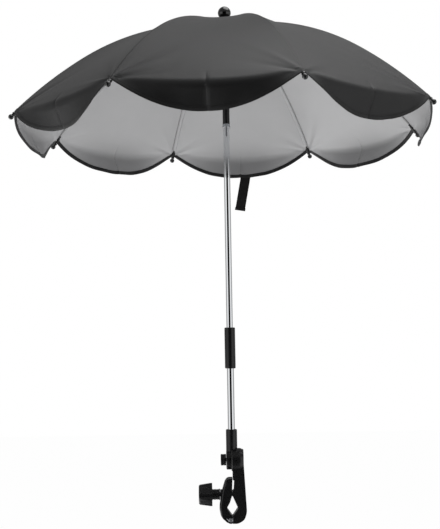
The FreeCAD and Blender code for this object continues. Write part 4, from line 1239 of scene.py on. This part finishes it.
class PARASOL_OT_stage(bpy.types.Operator):
    """Make the floor, light, card and camera"""
    bl_idname = "parasol.stage"
    bl_label = "Stage"

    def execute(self, context):
        stage = context.scene.parasol_stage
        context.scene.view_settings.view_transform = "Standard"
        world_light(stage)
        bpy.ops.object.select_all(action="DESELECT")
        bpy.ops.mesh.primitive_plane_add(size=FLOOR_SIZE, location=(0, 0, cad_low.z - stage.floor_drop))
        floor = context.object
        floor.name = "studio_floor"
        floor.data.materials.append(floor_finish())
        floor.visible_glossy = False
        bpy.ops.mesh.primitive_cylinder_add(vertices=96, radius=CARD_RADIUS, depth=CARD_DEPTH,
                                            end_fill_type="NOTHING", location=(0, 0, CARD_MIDDLE))
        card = context.object
        card.name = "card_ring"
        card.data.materials.append(card_finish())
        card.visible_camera = False
        card.visible_diffuse = False
        card.visible_shadow = False
        card.visible_transmission = False
        soft_light("key_light", KEY_PLACE, KEY_TARGET, KEY_SIZE, stage.key)
        bounce_place = Vector((0, 0.1, cad_low.z + 1 * MM))
        bounce = soft_light("floor_bounce", bounce_place, bounce_place + Vector((0, 0, 1)), BOUNCE_SIZE,
                            stage.bounce)
        bounce.visible_glossy = False
        bounce.visible_camera = False
        tilt = Matrix.Rotation(math.pi / 2 + stage.camera_pitch, 3, "X")
        roll = Matrix.Rotation(stage.camera_roll, 3, "Z")
        bpy.ops.object.camera_add(location=stage.camera_place, rotation=(tilt @ roll).to_euler())
        camera = context.object
        camera.data.lens = stage.camera_lens
        camera.data.sensor_width = 36
        camera.data.clip_end = 50
        context.scene.camera = camera
        return {"FINISHED"}


class PARASOL_PT_panel(bpy.types.Panel):
    """Lists the parasol's pieces and settings"""
    bl_idname = "PARASOL_PT_panel"
    bl_label = "Parasol"
    bl_space_type = "VIEW_3D"
    bl_region_type = "UI"
    bl_category = "Parasol"

    def draw(self, context):
        scene = context.scene
        for operator in OPERATORS:
            self.layout.operator(operator.bl_idname)
        for group in (scene.parasol_sizes, scene.parasol_colours, scene.parasol_stage):
            box = self.layout.box()
            for name in group.__annotations__:
                box.prop(group, name)


OPERATORS = (
    PARASOL_OT_stage,
    PARASOL_OT_canopy,
    PARASOL_OT_strap,
    PARASOL_OT_frame,
    PARASOL_OT_poles,
    PARASOL_OT_clamp,
)
CLASSES = (ParasolSizes, ParasolColours, ParasolStage, *OPERATORS, PARASOL_PT_panel)


def register():
    for item in CLASSES:
        bpy.utils.register_class(item)
    bpy.types.Scene.parasol_sizes = bpy.props.PointerProperty(type=ParasolSizes)
    bpy.types.Scene.parasol_colours = bpy.props.PointerProperty(type=ParasolColours)
    bpy.types.Scene.parasol_stage = bpy.props.PointerProperty(type=ParasolStage)


def unregister():
    del bpy.types.Scene.parasol_stage
    del bpy.types.Scene.parasol_colours
    del bpy.types.Scene.parasol_sizes
    for item in reversed(CLASSES):
        bpy.utils.unregister_class(item)


def main():
    register()
    bpy.ops.parasol.stage()
    bpy.ops.parasol.canopy()
    bpy.ops.parasol.strap()
    bpy.ops.parasol.frame()
    bpy.ops.parasol.poles()
    bpy.ops.parasol.clamp()


if __name__ == "__main__":
    main()
